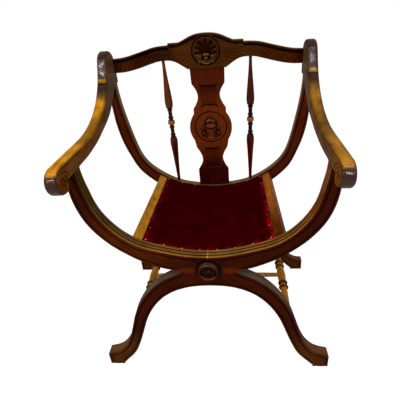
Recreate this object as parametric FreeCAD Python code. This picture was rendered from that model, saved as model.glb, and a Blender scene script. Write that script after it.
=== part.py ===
import FreeCAD, Part
import math
import os

os.makedirs("parts", exist_ok=True)
V = FreeCAD.Vector

# An X-frame armchair in stained beech. Two flat X frames, one behind the other,
# each made of two curved arms of the X above the crossing (the hoops) and two
# curved legs below it, all glued up over dowels. Two scrolled arm rests join the
# frames at the sides. A crest rail, a shaped splat and two turned spindles fill
# the back. Two rails and a dished board carry a thin velvet seat.
#
# X runs to the sitter's left, Y from front to back, Z up.
# All lengths are in millimetres, all angles in degrees.

# A tangent that turns less than this share is taken as straight
straight_turn = 1e-6

# Curves are laid out as this many pairs of arcs, cut lines through this many points
hoop_spans = 8
leg_spans = 8
arm_spans = 8
crest_spans = 3
splat_spans = 3
spindle_spans = 3
line_point_count = 24
spiral_point_count = 36

# Fits
glue_clearance = 0.15
soft_clearance = 0.3
cut_overrun = 2.0

# The two X frames
frame_spacing = 390.0
front_frame_thickness = 30.0
rear_frame_thickness = 24.0
edge_rounding = 1.6

# The crossing, front frame and rear frame
crotch_half_width = 70.0
front_crossing_joint = 386.6
front_crossing_rise = 43.4
front_arch_drop = 51.6
rear_crossing_joint = 362.0
rear_crossing_rise = 47.0
rear_arch_drop = 51.0

# Feet and legs
foot_half_width = 334.0
foot_pad_length = 44.0
foot_toe_height = 46.0
foot_pad_height = 10.0
foot_pad_step = 5.0

# Upper edge of a leg, from the crotch to the toe: x as shares of the way from the
# crotch to the toe, z as shares of the height of the crossing's joint.
leg_upper_shares = [
    (0.0686, 0.961), (0.1703, 0.924), (0.2718, 0.874), (0.3667, 0.810),
    (0.4520, 0.733), (0.5235, 0.648), (0.5803, 0.555), (0.6245, 0.456),
    (0.6655, 0.367), (0.7080, 0.287), (0.7658, 0.219), (0.8381, 0.163),
    (0.9241, 0.133),
]
# Lower edge of a leg, from the middle of the arch to the pad: x as shares of the
# way to the pad, z as shares of the arch's height.
leg_lower_shares = [
    (0, 1), (0.1289, 0.994), (0.2672, 0.966), (0.4137, 0.899),
    (0.5508, 0.776), (0.6563, 0.612), (0.7336, 0.424), (0.7993, 0.275),
    (0.8696, 0.16), (0.9516, 0.079),
]

# Hoops, front frame: half widths and heights
front_hoop_half_width = 309.0
front_hoop_band = 27.0
arm_underside = 689.0
# Hoops, rear frame
rear_hoop_half_width = 325.5
rear_hoop_band = 26.0

# Edges of the hoops from the crossing upwards: x as shares of the half width of
# that edge, z as shares of the rise from the crossing to the top of the edge.
front_inner_shares = [
    (0.0, 0.0), (0.249, 0.028), (0.426, 0.078), (0.610, 0.150), (0.751, 0.262),
    (0.873, 0.428), (0.945, 0.606), (0.980, 0.790), (1.0, 1.0),
]
front_outer_shares = [
    (0.2265, 0.0), (0.34, 0.022), (0.447, 0.065), (0.5617, 0.1222), (0.669, 0.1978),
    (0.7715, 0.2865), (0.8629, 0.3962), (0.9323, 0.5144), (0.9767, 0.6487),
    (0.9966, 0.7848), (1.0, 0.895), (1.0, 1.0),
]
rear_inner_shares = [
    (0.0, 0.0), (0.234, 0.018), (0.437, 0.058), (0.527, 0.092), (0.627, 0.141),
    (0.721, 0.2), (0.8112, 0.2824), (0.8697, 0.3877), (0.9119, 0.5155),
    (0.9458, 0.6431), (0.975, 0.7705), (0.995, 0.898), (1.0, 1.0),
]
rear_outer_shares = [
    (0.215, 0.0), (0.4, 0.046), (0.53, 0.096), (0.6539, 0.1574), (0.7457, 0.2201),
    (0.8279, 0.2934), (0.8805, 0.3814), (0.9298, 0.48), (0.9675, 0.5928),
    (0.9866, 0.6946), (0.994, 0.795), (0.999, 0.909), (1.0, 1.0),
]

# Lines cut in the faces of hoops and legs, and reeds inside the front hoop
line_inset = 6.0
line_width = 3.2
line_depth = 1.6
reed_count = 3
reed_gap = 2.4
reed_depth = 1.6
pad_line_inset = 10.0
pad_line_height = 13.0

# Arm rests, with a scroll at the front and an upright finial at the back
arm_width = 31.0
arm_inset = 3.5
arm_edge_rounding = 8.5
arm_front_thickness = 36.0
arm_climb = 111.0
scroll_radius = 31.5
scroll_centre_reach = 52.0
scroll_curl_share = 0.492
arm_flat_reach = 62.0
arm_crown_rise = 101.0
arm_crown_radius = 41.0
arm_finial_lean = 31.0
# Top line of the arm from the scroll to the crown, y as shares of the frame spacing,
# z as shares of the rise from the flat front to the crown.
arm_top_shares = [
    (0, 0), (0.18, -0.0034), (0.35, 0.0147), (0.53, 0.1231),
    (0.668, 0.2953), (0.752, 0.47), (0.812, 0.6567),
]
# Its underside, y the same, z as shares of the climb from the front to the rear joint
arm_under_shares = [
    (0.295, 0.0344), (0.403, 0.0898), (0.528, 0.1986), (0.68, 0.3533),
    (0.83, 0.6723), (0.905, 0.8824),
]
collar_lift = 12.0
collar_reach = 9.0
collar_rise = 4.0
spiral_turns = 1.75
spiral_inner_radius = 3.0
spiral_outer_radius = 18.0
spiral_line_width = 1.4
spiral_line_depth = 1.2

# Crest rail
crest_thickness = 22.0
crest_base_rise = 31.0
crest_depth = 103.0
crest_flat_half_width = 61.0
crest_corner_half_width = 84.0
crest_step_half_width = 115.0
crest_step_drop = 24.5
crest_shoulder_drop = 6.0
crest_end_drop = 31.0
crest_hump_shares = [(0.0, 1.0), (0.20, 0.975), (0.60, 0.640), (0.86, 0.215), (1.0, 0.02)]
crest_wing_shares = [(0.0, 1.0), (0.17, 0.985), (0.42, 0.600), (0.66, 0.215), (1.0, 0.0)]
crest_under_rise = 29.0
crest_under_peak_half_width = 131.0
crest_under_inner_shares = [(0.0, 0.03), (0.19, 0.34), (0.52, 0.82), (1.0, 1.0)]
crest_under_outer_shares = [(0.0, 1.0), (0.24, 0.74), (0.52, 0.26), (0.72, 0.04), (1.0, 0.0)]
crest_line_inset = 5.0
crest_line_width = 4.2
crest_line_depth = 2.0
crest_second_line_inset = 10.4
crest_second_line_width = 2.4

# Carved shell in the crest: a ring, a shallow dish and flutes that fan out from a ball
shell_radius = 44.0
shell_ring_width = 3.0
shell_ring_depth = 2.2
shell_lift = 0.5
shell_dish_radius = 31.0
shell_dish_depth = 3.0
shell_flutes = 11
shell_fan_angle = 250.0
shell_root_drop = 15.0
shell_flute_start_radius = 9.0
shell_flute_outer_radius = 35.0
shell_flute_root_radius = 2.6
shell_flute_tip_radius = 6.0
shell_flute_lift = 1.0
shell_ball_radius = 7.0
shell_ball_sink = 2.0

# Splat
splat_thickness = 12.0
splat_top_half_width = 54.5
splat_corner_half_width = 53.0
splat_waist_half_width = 35.5
splat_neck_half_width = 53.5
medallion_half_width = 71.0
splat_foot_half_width = 53.5
# Heights as shares of the way from the rear crossing's top to the crest's base
splat_corner_share = 0.8863
splat_waist_share = 0.7915
splat_neck_top_share = 0.6896
splat_neck_bottom_share = 0.6469
medallion_share = 0.5379
splat_lower_neck_top_share = 0.4289
splat_lower_neck_bottom_share = 0.3626
splat_lower_waist_share = 0.2536
splat_lower_corner_share = 0.1540
upper_panel_shares = (0.7038, 0.8791)
lower_panel_shares = (0.1730, 0.3626)
splat_tenon_half_width = 30.0
splat_tenon_thickness = 8.0
splat_tenon_length = 16.0
medallion_ring_radius = 54.5
medallion_ring_width = 2.6
medallion_ring_depth = 2.0
panel_half_width = 26.0
panel_depth = 1.6
panel_end_rise = 5.0
panel_line_count = 9
panel_line_width = 1.0
panel_line_depth = 0.8
urn_height = 60.0
urn_drop = 10.0
urn_bowl_radius = 17.5
urn_foot_radius = 12.5
urn_stem_radius = 10.5
urn_belly_radius = 12.5
urn_lid_radius = 16.0
urn_handle_radius = 6.5
urn_handle_wire = 1.8
urn_relief = 1.4
# Heights of the stem, the belly, the rim and the handles as shares of the urn's height
urn_stem_share = 0.08
urn_belly_share = 0.36
urn_rim_share = 0.66
urn_handle_share = 0.72

# Spindles: radii along the height
spindle_top_outset = 5.0
spindle_lean = 5.5
spindle_pin_radius = 4.0
spindle_pin_length = 14.0
spindle_seat_gap = 1.2
# Height as shares of the spindle's length above its foot, radius as shares of
# the largest radius.
spindle_radius = 12.5
spindle_shares = [
    (0.0, 0.42), (0.06, 0.46), (0.20, 0.70), (0.31, 0.93), (0.365, 1.0),
    (0.395, 0.86),
]
spindle_upper_shares = [
    (0.645, 0.86), (0.675, 1.0), (0.74, 0.94), (0.84, 0.66), (0.94, 0.42),
    (1.0, 0.38),
]
spindle_bead_shares = [0.421, 0.486, 0.564, 0.629]
spindle_bead_radius = 9.0
spindle_bead_half_share = 0.0095
spindle_neck_radius = 6.5
spindle_ball_share = 0.525
spindle_ball_radius = 12.0
spindle_ball_half_share = 0.0237

# Seat rails
rail_half_spacing = 194.0
rail_drop = 9.0
rail_tilt = 30.0
rail_visible_width = 25.4
rail_ledge_width = 12.0
rail_thickness = 24.0
rail_ledge_depth = 8.0
rail_tenon_length = 14.0
rail_tenon_width = 22.0
rail_tenon_thickness = 10.0

# Seat board and the velvet pad on it
board_thickness = 6.0
board_front_dish = 46.0
board_rear_dish = 40.0
pad_edge_height = 3.0
pad_rim_height = 7.5
pad_crown_height = 13.0
pad_rim_width = 14.0
pad_end_width = 10.0
pad_station_count = 14
# Places of a section's points, as shares of the pad's half width
pad_side_shares = [0.3, 0.6, 0.8, 0.92, 0.97, 1.0]

# Tacks round the edge of the velvet
tack_head_radius = 2.7
tack_head_height = 1.5
tack_shank_radius = 0.8
tack_shank_length = 9.0
tack_inset = 9.0
tack_front_pitch = 46.0
tack_side_pitch = 52.0

# Stretchers
stretcher_height = 155.0
stretcher_outset = 1.1
stretcher_end_radius = 7.5
stretcher_taper_radius = 10.5
stretcher_barrel_radius = 13.5
stretcher_barrel_half_length = 33.0
stretcher_ring_radius = 15.5
stretcher_ring_length = 6.0
stretcher_neck_radius = 9.5
stretcher_shoulder_radius = 10.5
stretcher_neck_length = 12.0
stretcher_tenon_radius = 5.5
stretcher_tenon_length = 16.0
cross_stretcher_radius = 6.5
cross_stretcher_swell = 8.5
cross_stretcher_tenon_radius = 4.5
cross_stretcher_tenon_length = 8.0
cross_seat_depth = 1.5

# Rosette boss on the crossing
boss_radius = 30.5
boss_rise = 3.0
boss_thickness = 12.0
boss_rim_width = 5.8
boss_dish_depth = 5.5
boss_button_radius = 5.5
boss_petals = 10
boss_petal_start_radius = 3.5
boss_petal_length = 15.0
boss_petal_sink = 0.4
boss_petal_half_width = 3.9
boss_petal_root_half_width = 1.1
boss_peg_radius = 4.5
boss_peg_length = 16.0

# Dowels
dowel_radius = 4.0
dowel_length = 38.0
dowel_gap = 1.0
dowel_joint_half_spacing = 46.0
arm_dowel_length = 40.0
crest_dowel_radius = 3.5
crest_dowel_length = 26.0
crest_dowel_spacing = 18.0

# Heights and places that follow from these
front_crossing_top = front_crossing_joint + front_crossing_rise
front_crossing_arch = front_crossing_joint - front_arch_drop
rear_crossing_top = rear_crossing_joint + rear_crossing_rise
rear_crossing_arch = rear_crossing_joint - rear_arch_drop
boss_height = front_crossing_joint + boss_rise
rear_arm_joint = arm_underside + arm_climb
arm_crown_height = rear_arm_joint + arm_crown_rise
collar_height = rear_arm_joint + collar_lift
crest_base = rear_arm_joint + crest_base_rise
crest_peak = crest_base + crest_depth
crest_step_height = crest_peak - crest_step_drop
crest_shoulder_height = crest_step_height - crest_shoulder_drop
crest_end_height = crest_shoulder_height - crest_end_drop
crest_under_peak = crest_base + crest_under_rise
shell_height = (crest_base + crest_peak) / 2 + shell_lift
foot_inner_half_width = foot_half_width - foot_pad_length
arm_front_centre = front_hoop_half_width - front_hoop_band / 2 - arm_inset
arm_rear_centre = rear_hoop_half_width - rear_hoop_band / 2 - arm_inset
scroll_curl_radius = scroll_radius * scroll_curl_share
rear_y = frame_spacing
back_y = frame_spacing + rear_frame_thickness
rear_middle_y = frame_spacing + rear_frame_thickness / 2
front_middle_y = front_frame_thickness / 2


# Small drawing helpers, all in the plane y = 0 unless a plane is given
def flat(x, z, y=0.0):
    return V(x, y, z)


def segment(a, b):
    return Part.LineSegment(a, b).toShape()


def three_point_arc(a, middle, b):
    return Part.Arc(a, middle, b).toShape()


def smooth_curve(points, start=None, end=None):
    curve = Part.BSplineCurve()
    if start is None and end is None:
        curve.interpolate(Points=points)
    elif start is None:
        curve.interpolate(Points=points, InitialTangent=points[1] - points[0], FinalTangent=end)
    elif end is None:
        curve.interpolate(Points=points, InitialTangent=start, FinalTangent=points[-1] - points[-2])
    else:
        curve.interpolate(Points=points, InitialTangent=start, FinalTangent=end)
    return curve


def tangent_arc(start, tangent, end):
    """An arc that leaves its start along a tangent, or a line if that is straight."""
    chord = end - start
    unit = V(chord).normalize()
    aside = tangent - unit * tangent.dot(unit)
    if aside.Length < straight_turn:
        return segment(start, end)
    turn = math.atan2(aside.Length, tangent.dot(unit))
    rise = chord.Length / 2 * math.tan(turn / 2)
    middle = start + chord / 2 + aside.normalize() * rise
    return three_point_arc(start, middle, end)


def arc_pair(p0, t0, p1, t1):
    """Two arcs that join two points and meet the tangent at each of them."""
    v = p1 - p0
    a = 2 * (1 - t0.dot(t1))
    b = 2 * v.dot(t0 + t1)
    c = -v.dot(v)
    if a < straight_turn ** 2:
        reach = -c / b
    else:
        reach = (-b + math.sqrt(b * b - 4 * a * c)) / (2 * a)
    joint = (p0 + t0 * reach + p1 - t1 * reach) / 2
    back = tangent_arc(p1, t1 * -1, joint)
    return [tangent_arc(p0, t0, joint), back]


def arc_chain(curve, spans):
    """The same curve as a chain of arcs, each tangent to the next."""
    first, last = curve.FirstParameter, curve.LastParameter
    edges = []
    for i in range(spans):
        a = first + (last - first) * i / spans
        b = first + (last - first) * (i + 1) / spans
        ta = V(curve.tangent(a)[0])
        tb = V(curve.tangent(b)[0])
        edges += arc_pair(curve.value(a), ta, curve.value(b), tb)
    return edges


def prism(edges, direction):
    wire = Part.Wire(Part.__sortEdges__(edges))
    return Part.Face(wire).extrude(direction)


def mirrored(shape):
    return shape.mirror(V(0, 0, 0), V(1, 0, 0))


def both_sides(shape):
    return {"right": shape, "left": mirrored(shape)}


def cylinder(radius, length, base, direction):
    return Part.makeCylinder(radius, length, base, direction)


def offset_points(curve, distance, count):
    """Points at a constant distance beside a curve drawn in a plane y = constant."""
    first, last = curve.FirstParameter, curve.LastParameter
    points = []
    for i in range(count + 1):
        t = first + (last - first) * i / count
        p = curve.value(t)
        d = curve.tangent(t)[0]
        points.append(V(p.x - d.z * distance, p.y, p.z + d.x * distance))
    return points


def ribbon(curve, near, far, y, depth):
    """A strip beside a curve, between two distances, sunk from y by depth."""
    a = offset_points(curve, near, line_point_count)
    b = offset_points(curve, far, line_point_count)
    edges = [
        smooth_curve(a).toShape(),
        segment(a[-1], b[-1]),
        smooth_curve(list(reversed(b))).toShape(),
        segment(b[0], a[0]),
    ]
    strip = prism(edges, V(0, depth, 0))
    strip.translate(V(0, y, 0))
    return strip


def long_edges(shape, planes):
    """Curved edges that lie in one of the planes y = constant."""
    found = []
    for edge in shape.Edges:
        box = edge.BoundBox
        if box.YLength > glue_clearance:
            continue
        if edge.Curve.TypeId == "Part::GeomLine":
            continue
        if any(abs(box.Center.y - y) < glue_clearance for y in planes):
            found.append(edge)
    return found


# The X frames
def hoop_curves(inner_shares, outer_shares, half_width, band, crossing_top, joint, top):
    inner = [
        flat(sx * (half_width - band), crossing_top + sz * (top - crossing_top))
        for sx, sz in inner_shares
    ]
    outer = [
        flat(sx * half_width, joint + sz * (top - joint))
        for sx, sz in outer_shares
    ]
    outer[0] = flat(crotch_half_width, joint)
    up = V(0, 0, 1)
    return smooth_curve(inner, V(1, 0, 0), up), smooth_curve(outer, None, up)


def leg_curves(joint, arch):
    toe = flat(foot_half_width, foot_toe_height)
    pad_top = flat(foot_inner_half_width - foot_pad_step, foot_pad_height)
    reach = foot_half_width - crotch_half_width
    upper = [flat(crotch_half_width, joint)]
    upper += [flat(crotch_half_width + sx * reach, sz * joint) for sx, sz in leg_upper_shares]
    upper.append(toe)
    lower = [flat(sx * pad_top.x, sz * arch) for sx, sz in leg_lower_shares]
    lower.append(pad_top)
    return smooth_curve(upper), smooth_curve(lower, V(1, 0, 0), None)


def make_hoop(curves, joint, top, thickness):
    inner, outer = curves
    seam_bottom = flat(0, joint)
    seam_top = inner.StartPoint
    edges = [
        segment(seam_bottom, outer.StartPoint),
        segment(outer.EndPoint, inner.EndPoint),
        segment(seam_top, seam_bottom),
    ]
    edges += arc_chain(outer, hoop_spans) + arc_chain(inner, hoop_spans)
    body = prism(edges, V(0, thickness, 0))
    return body.makeFillet(edge_rounding, long_edges(body, [0, thickness]))


def make_leg(curves, joint, thickness):
    upper, lower = curves
    pad_inner = flat(foot_inner_half_width, 0)
    pad_inner_top = flat(foot_inner_half_width, foot_pad_height)
    toe_bottom = flat(foot_half_width, 0)
    edges = [
        segment(flat(0, joint), upper.StartPoint),
        segment(upper.EndPoint, toe_bottom),
        segment(toe_bottom, pad_inner),
        segment(pad_inner, pad_inner_top),
        segment(pad_inner_top, lower.EndPoint),
        segment(lower.StartPoint, flat(0, joint)),
    ]
    edges += arc_chain(upper, leg_spans) + arc_chain(lower, leg_spans)
    body = prism(edges, V(0, thickness, 0))
    return body.makeFillet(edge_rounding, long_edges(body, [0, thickness]))


front_hoop_curves = hoop_curves(
    front_inner_shares, front_outer_shares, front_hoop_half_width, front_hoop_band,
    front_crossing_top, front_crossing_joint, arm_underside)
rear_hoop_curves = hoop_curves(
    rear_inner_shares, rear_outer_shares, rear_hoop_half_width, rear_hoop_band,
    rear_crossing_top, rear_crossing_joint, rear_arm_joint)
front_leg_curves = leg_curves(front_crossing_joint, front_crossing_arch)
rear_leg_curves = leg_curves(rear_crossing_joint, rear_crossing_arch)

front_hoop = make_hoop(front_hoop_curves, front_crossing_joint, arm_underside,
                       front_frame_thickness)
rear_hoop = make_hoop(rear_hoop_curves, rear_crossing_joint, rear_arm_joint,
                      rear_frame_thickness)
front_leg = make_leg(front_leg_curves, front_crossing_joint, front_frame_thickness)
rear_leg = make_leg(rear_leg_curves, rear_crossing_joint, rear_frame_thickness)


def cut_lines(body, curves, signs):
    """Sink a thin line beside each long edge of a front face."""
    for curve, sign in zip(curves, signs):
        near = sign * line_inset
        far = sign * (line_inset + line_width)
        body = body.cut(ribbon(curve, near, far, -cut_overrun, line_depth + cut_overrun))
    return body


front_hoop = cut_lines(front_hoop, front_hoop_curves, (-1, 1))
rear_hoop = cut_lines(rear_hoop, rear_hoop_curves, (-1, 1))


def cut_leg_lines(body, curves, signs):
    """The lines of a leg. The upper one turns down before the toe."""
    toe_line = foot_half_width - line_inset
    beyond = Part.makeBox(foot_half_width, foot_half_width, foot_half_width,
                          V(toe_line, -foot_half_width / 2, -cut_overrun))
    depth = line_depth + cut_overrun
    for curve, sign in zip(curves, signs):
        strip = ribbon(curve, sign * line_inset, sign * (line_inset + line_width),
                       -cut_overrun, depth)
        body = body.cut(strip.cut(beyond))
    turned_down = Part.makeBox(line_width, depth, foot_toe_height - line_inset,
                               V(toe_line - line_width, -cut_overrun, 0))
    pad_line = Part.makeBox(line_width, depth, pad_line_height,
                            V(foot_inner_half_width + pad_line_inset, -cut_overrun, 0))
    return body.cut(turned_down).cut(pad_line)


front_leg = cut_leg_lines(front_leg, front_leg_curves, (-1, 1))
rear_leg = cut_leg_lines(rear_leg, rear_leg_curves, (-1, 1))

reed_pitch = front_frame_thickness / reed_count
for i in range(1, reed_count):
    front_hoop = front_hoop.cut(ribbon(
        front_hoop_curves[0], cut_overrun, -reed_depth,
        i * reed_pitch - reed_gap / 2, reed_gap))

for body in (rear_hoop, rear_leg):
    body.translate(V(0, rear_y, 0))


def curve_height(curve, x):
    """Height of a hoop's edge at a distance from the middle."""
    hit = curve.toShape().distToShape(segment(flat(x, 0), flat(x, crest_peak)))
    return hit[1][0][0].z


# Arm rests, drawn in the plane x = 0 and then turned to converge to the front
def side(y, z):
    return V(0, y, z)


def arm_points(shares, start, end):
    """Points along the arm whose height goes from start to end."""
    return [side(sy * frame_spacing, start + sz * (end - start)) for sy, sz in shares]


def make_arm():
    top_z = arm_underside + arm_front_thickness
    centre = side(-scroll_centre_reach, top_z - scroll_radius)
    scroll_top = centre + V(0, 0, scroll_radius)
    scroll_front = centre - V(0, scroll_radius, 0)
    scroll_bottom = centre - V(0, 0, scroll_radius)
    curl_centre = scroll_bottom + V(0, 0, scroll_curl_radius)
    curl_back = curl_centre + V(0, scroll_curl_radius, 0)
    diagonal = scroll_curl_radius * math.sqrt(0.5)
    curl_middle = curl_centre + V(0, diagonal, -diagonal)
    scroll_end = side(curl_back.y, arm_underside)
    crown_centre = side(back_y - arm_crown_radius, arm_crown_height - arm_crown_radius)
    lean = math.radians(arm_finial_lean)
    finial_direction = V(0, math.sin(lean), math.cos(lean))
    finial_top = crown_centre + V(0, -math.cos(lean), math.sin(lean)) * arm_crown_radius
    crown = crown_centre + V(0, 0, arm_crown_radius)
    shoulder = crown_centre + V(0, arm_crown_radius, 0)
    top_line = smooth_curve(
        [scroll_top] + arm_points(arm_top_shares, top_z, arm_crown_height) + [finial_top],
        V(0, 1, 0), finial_direction)
    flat_end = side(arm_flat_reach, arm_underside)
    block_front = side(rear_y - cut_overrun, rear_arm_joint)
    under = smooth_curve(
        [flat_end, *arm_points(arm_under_shares, arm_underside, rear_arm_joint), block_front],
        V(0, 1, 0), V(0, 1, 0))
    edges = [
        segment(scroll_end, curl_back),
        three_point_arc(curl_back, curl_middle, scroll_bottom),
        three_point_arc(scroll_bottom, scroll_front, scroll_top),
        three_point_arc(finial_top, crown, shoulder),
        segment(shoulder, side(back_y, rear_arm_joint)),
        segment(side(back_y, rear_arm_joint), block_front),
        segment(flat_end, scroll_end),
    ]
    edges += arc_chain(top_line, arm_spans) + arc_chain(under, arm_spans)
    body = prism(edges, V(arm_width, 0, 0))
    body.translate(V(-arm_width / 2, 0, 0))
    chain = []
    for edge in body.Edges:
        box = edge.BoundBox
        top_fits = abs(box.ZMax - scroll_top.z) < glue_clearance
        bottom_fits = abs(box.ZMin - scroll_bottom.z) < glue_clearance
        if box.XLength < glue_clearance and top_fits and bottom_fits:
            chain.append(edge)
    return body.makeFillet(arm_edge_rounding, chain), centre


arm, scroll_centre = make_arm()
arm_turn = math.degrees(math.atan2(arm_rear_centre - arm_front_centre, frame_spacing))


def place_arm(shape):
    placed = shape.copy()
    placed.rotate(V(0, rear_middle_y, 0), V(0, 0, 1), -arm_turn)
    placed.translate(V(arm_rear_centre, 0, 0))
    return placed


def top_line_point(body, height):
    """Where the front of the finial crosses a height, in the arm's own plane."""
    reach = segment(side(-scroll_centre_reach, height), side(back_y, height))
    return side(body.common(reach).BoundBox.YMin, height)


def cut_collar(body):
    lip = top_line_point(body, collar_height)
    corner = lip + V(0, collar_reach, collar_rise)
    above = side(corner.y, corner.z + collar_reach * 2)
    outside = side(lip.y - collar_reach, above.z)
    edges = [segment(lip, corner), segment(corner, above),
             segment(above, outside), segment(outside, lip)]
    wedge = prism(edges, V(arm_width + 2 * cut_overrun, 0, 0))
    wedge.translate(V(-arm_width / 2 - cut_overrun, 0, 0))
    return body.cut(wedge)


def spiral_points(shift):
    points = []
    for i in range(spiral_point_count + 1):
        share = i / spiral_point_count
        angle = 2 * math.pi * spiral_turns * share
        radius = spiral_outer_radius + shift
        radius -= (spiral_outer_radius - spiral_inner_radius) * share
        points.append(scroll_centre + V(0, radius * math.cos(angle), radius * math.sin(angle)))
    return points


def cut_spirals(body):
    a = spiral_points(-spiral_line_width / 2)
    b = spiral_points(spiral_line_width / 2)
    edges = [smooth_curve(a).toShape(), segment(a[-1], b[-1]),
             smooth_curve(list(reversed(b))).toShape(), segment(b[0], a[0])]
    depth = spiral_line_depth + cut_overrun
    groove = prism(edges, V(depth, 0, 0))
    face = arm_width / 2
    for x in (-face - cut_overrun, face - spiral_line_depth):
        tool = groove.copy()
        tool.translate(V(x, 0, 0))
        body = body.cut(tool)
    return body


arm = place_arm(cut_spirals(cut_collar(arm)))
arm_slab = place_arm(Part.makeBox(
    arm_width, back_y * 2, crest_peak, V(-arm_width / 2, -scroll_centre_reach * 2, 0)))


def arm_centre_x(y):
    return arm_rear_centre - (rear_middle_y - y) * math.tan(math.radians(arm_turn))


# Crest rail: one half is drawn and joined to its mirror image
def scaled_points(shares, x0, x1, z0, z1):
    """Points whose x runs from x0 to x1 and whose z runs from z0 up to z1."""
    return [flat(x0 + sx * (x1 - x0), z0 + sz * (z1 - z0)) for sx, sz in shares]


crest_end = arm_rear_centre
crest_front_y = rear_middle_y - crest_thickness / 2
hump = smooth_curve(scaled_points(
    crest_hump_shares, 0, crest_corner_half_width, crest_step_height, crest_peak), V(1, 0, 0))
wing = smooth_curve(scaled_points(
    crest_wing_shares, crest_step_half_width, crest_end, crest_end_height,
    crest_shoulder_height), None, V(1, 0, 0))
under_inner = smooth_curve(scaled_points(
    crest_under_inner_shares, crest_flat_half_width, crest_under_peak_half_width,
    crest_base, crest_under_peak), None, V(1, 0, 0))
under_outer = smooth_curve(scaled_points(
    crest_under_outer_shares, crest_under_peak_half_width, crest_end, crest_base,
    crest_under_peak), V(1, 0, 0), V(1, 0, 0))
step_top = flat(crest_step_half_width, crest_step_height)


def make_crest():
    edges = [
        segment(flat(0, crest_base), flat(0, crest_peak)),
        segment(hump.EndPoint, step_top),
        segment(step_top, wing.StartPoint),
        segment(wing.EndPoint, under_outer.EndPoint),
        segment(under_inner.StartPoint, flat(crest_flat_half_width, crest_base)),
        segment(flat(crest_flat_half_width, crest_base), flat(0, crest_base)),
    ]
    for curve in (hump, wing, under_outer, under_inner):
        edges += arc_chain(curve, crest_spans)
    half = prism(edges, V(0, crest_thickness, 0))
    for near, width in ((crest_line_inset, crest_line_width),
                        (crest_second_line_inset, crest_second_line_width)):
        for curve in (hump, wing):
            half = half.cut(ribbon(curve, -near, -near - width, -cut_overrun,
                                   crest_line_depth + cut_overrun))
        level = Part.makeBox(
            crest_step_half_width - near - crest_corner_half_width, crest_line_depth + cut_overrun,
            width, V(crest_corner_half_width, -cut_overrun, crest_step_height - near - width))
        half = half.cut(level)
    body = half.fuse(mirrored(half)).removeSplitter()
    body.translate(V(0, crest_front_y, 0))
    return body


def carve_shell(body):
    along = V(0, 1, 0)
    centre = V(0, crest_front_y - cut_overrun, shell_height)
    ring = cylinder(shell_radius, shell_ring_depth + cut_overrun, centre, along)
    ring = ring.cut(cylinder(shell_radius - shell_ring_width, shell_ring_depth + cut_overrun,
                             centre, along))
    dish_radius = (shell_dish_radius ** 2 + shell_dish_depth ** 2) / (2 * shell_dish_depth)
    dish = Part.makeSphere(dish_radius, V(0, crest_front_y + shell_dish_depth - dish_radius,
                                          shell_height))
    body = body.cut(ring).cut(dish)
    root = V(0, crest_front_y - shell_flute_lift, shell_height - shell_root_drop)
    reach = shell_flute_outer_radius - shell_flute_tip_radius
    for i in range(shell_flutes):
        angle = math.radians(-shell_fan_angle / 2 + shell_fan_angle * i / (shell_flutes - 1))
        out = V(math.sin(angle), 0, math.cos(angle))
        start = root + out * shell_flute_start_radius
        aside = shell_root_drop * math.sin(angle)
        end_length = math.sqrt(reach ** 2 - aside ** 2) + shell_root_drop * math.cos(angle)
        end = root + out * end_length
        flute = Part.makeCone(shell_flute_root_radius, shell_flute_tip_radius,
                              (end - start).Length, start, out)
        body = body.cut(flute.fuse(Part.makeSphere(shell_flute_tip_radius, end)))
    ball = Part.makeSphere(shell_ball_radius, V(0, crest_front_y + shell_ball_sink, root.z))
    return body.fuse(ball)


crest = carve_shell(make_crest())
crest = crest.cut(arm_slab).cut(mirrored(arm_slab))


# Splat: half outline joined to its mirror image
def splat_height(share):
    return rear_crossing_top + share * (crest_base - rear_crossing_top)


medallion_height = splat_height(medallion_share)


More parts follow.
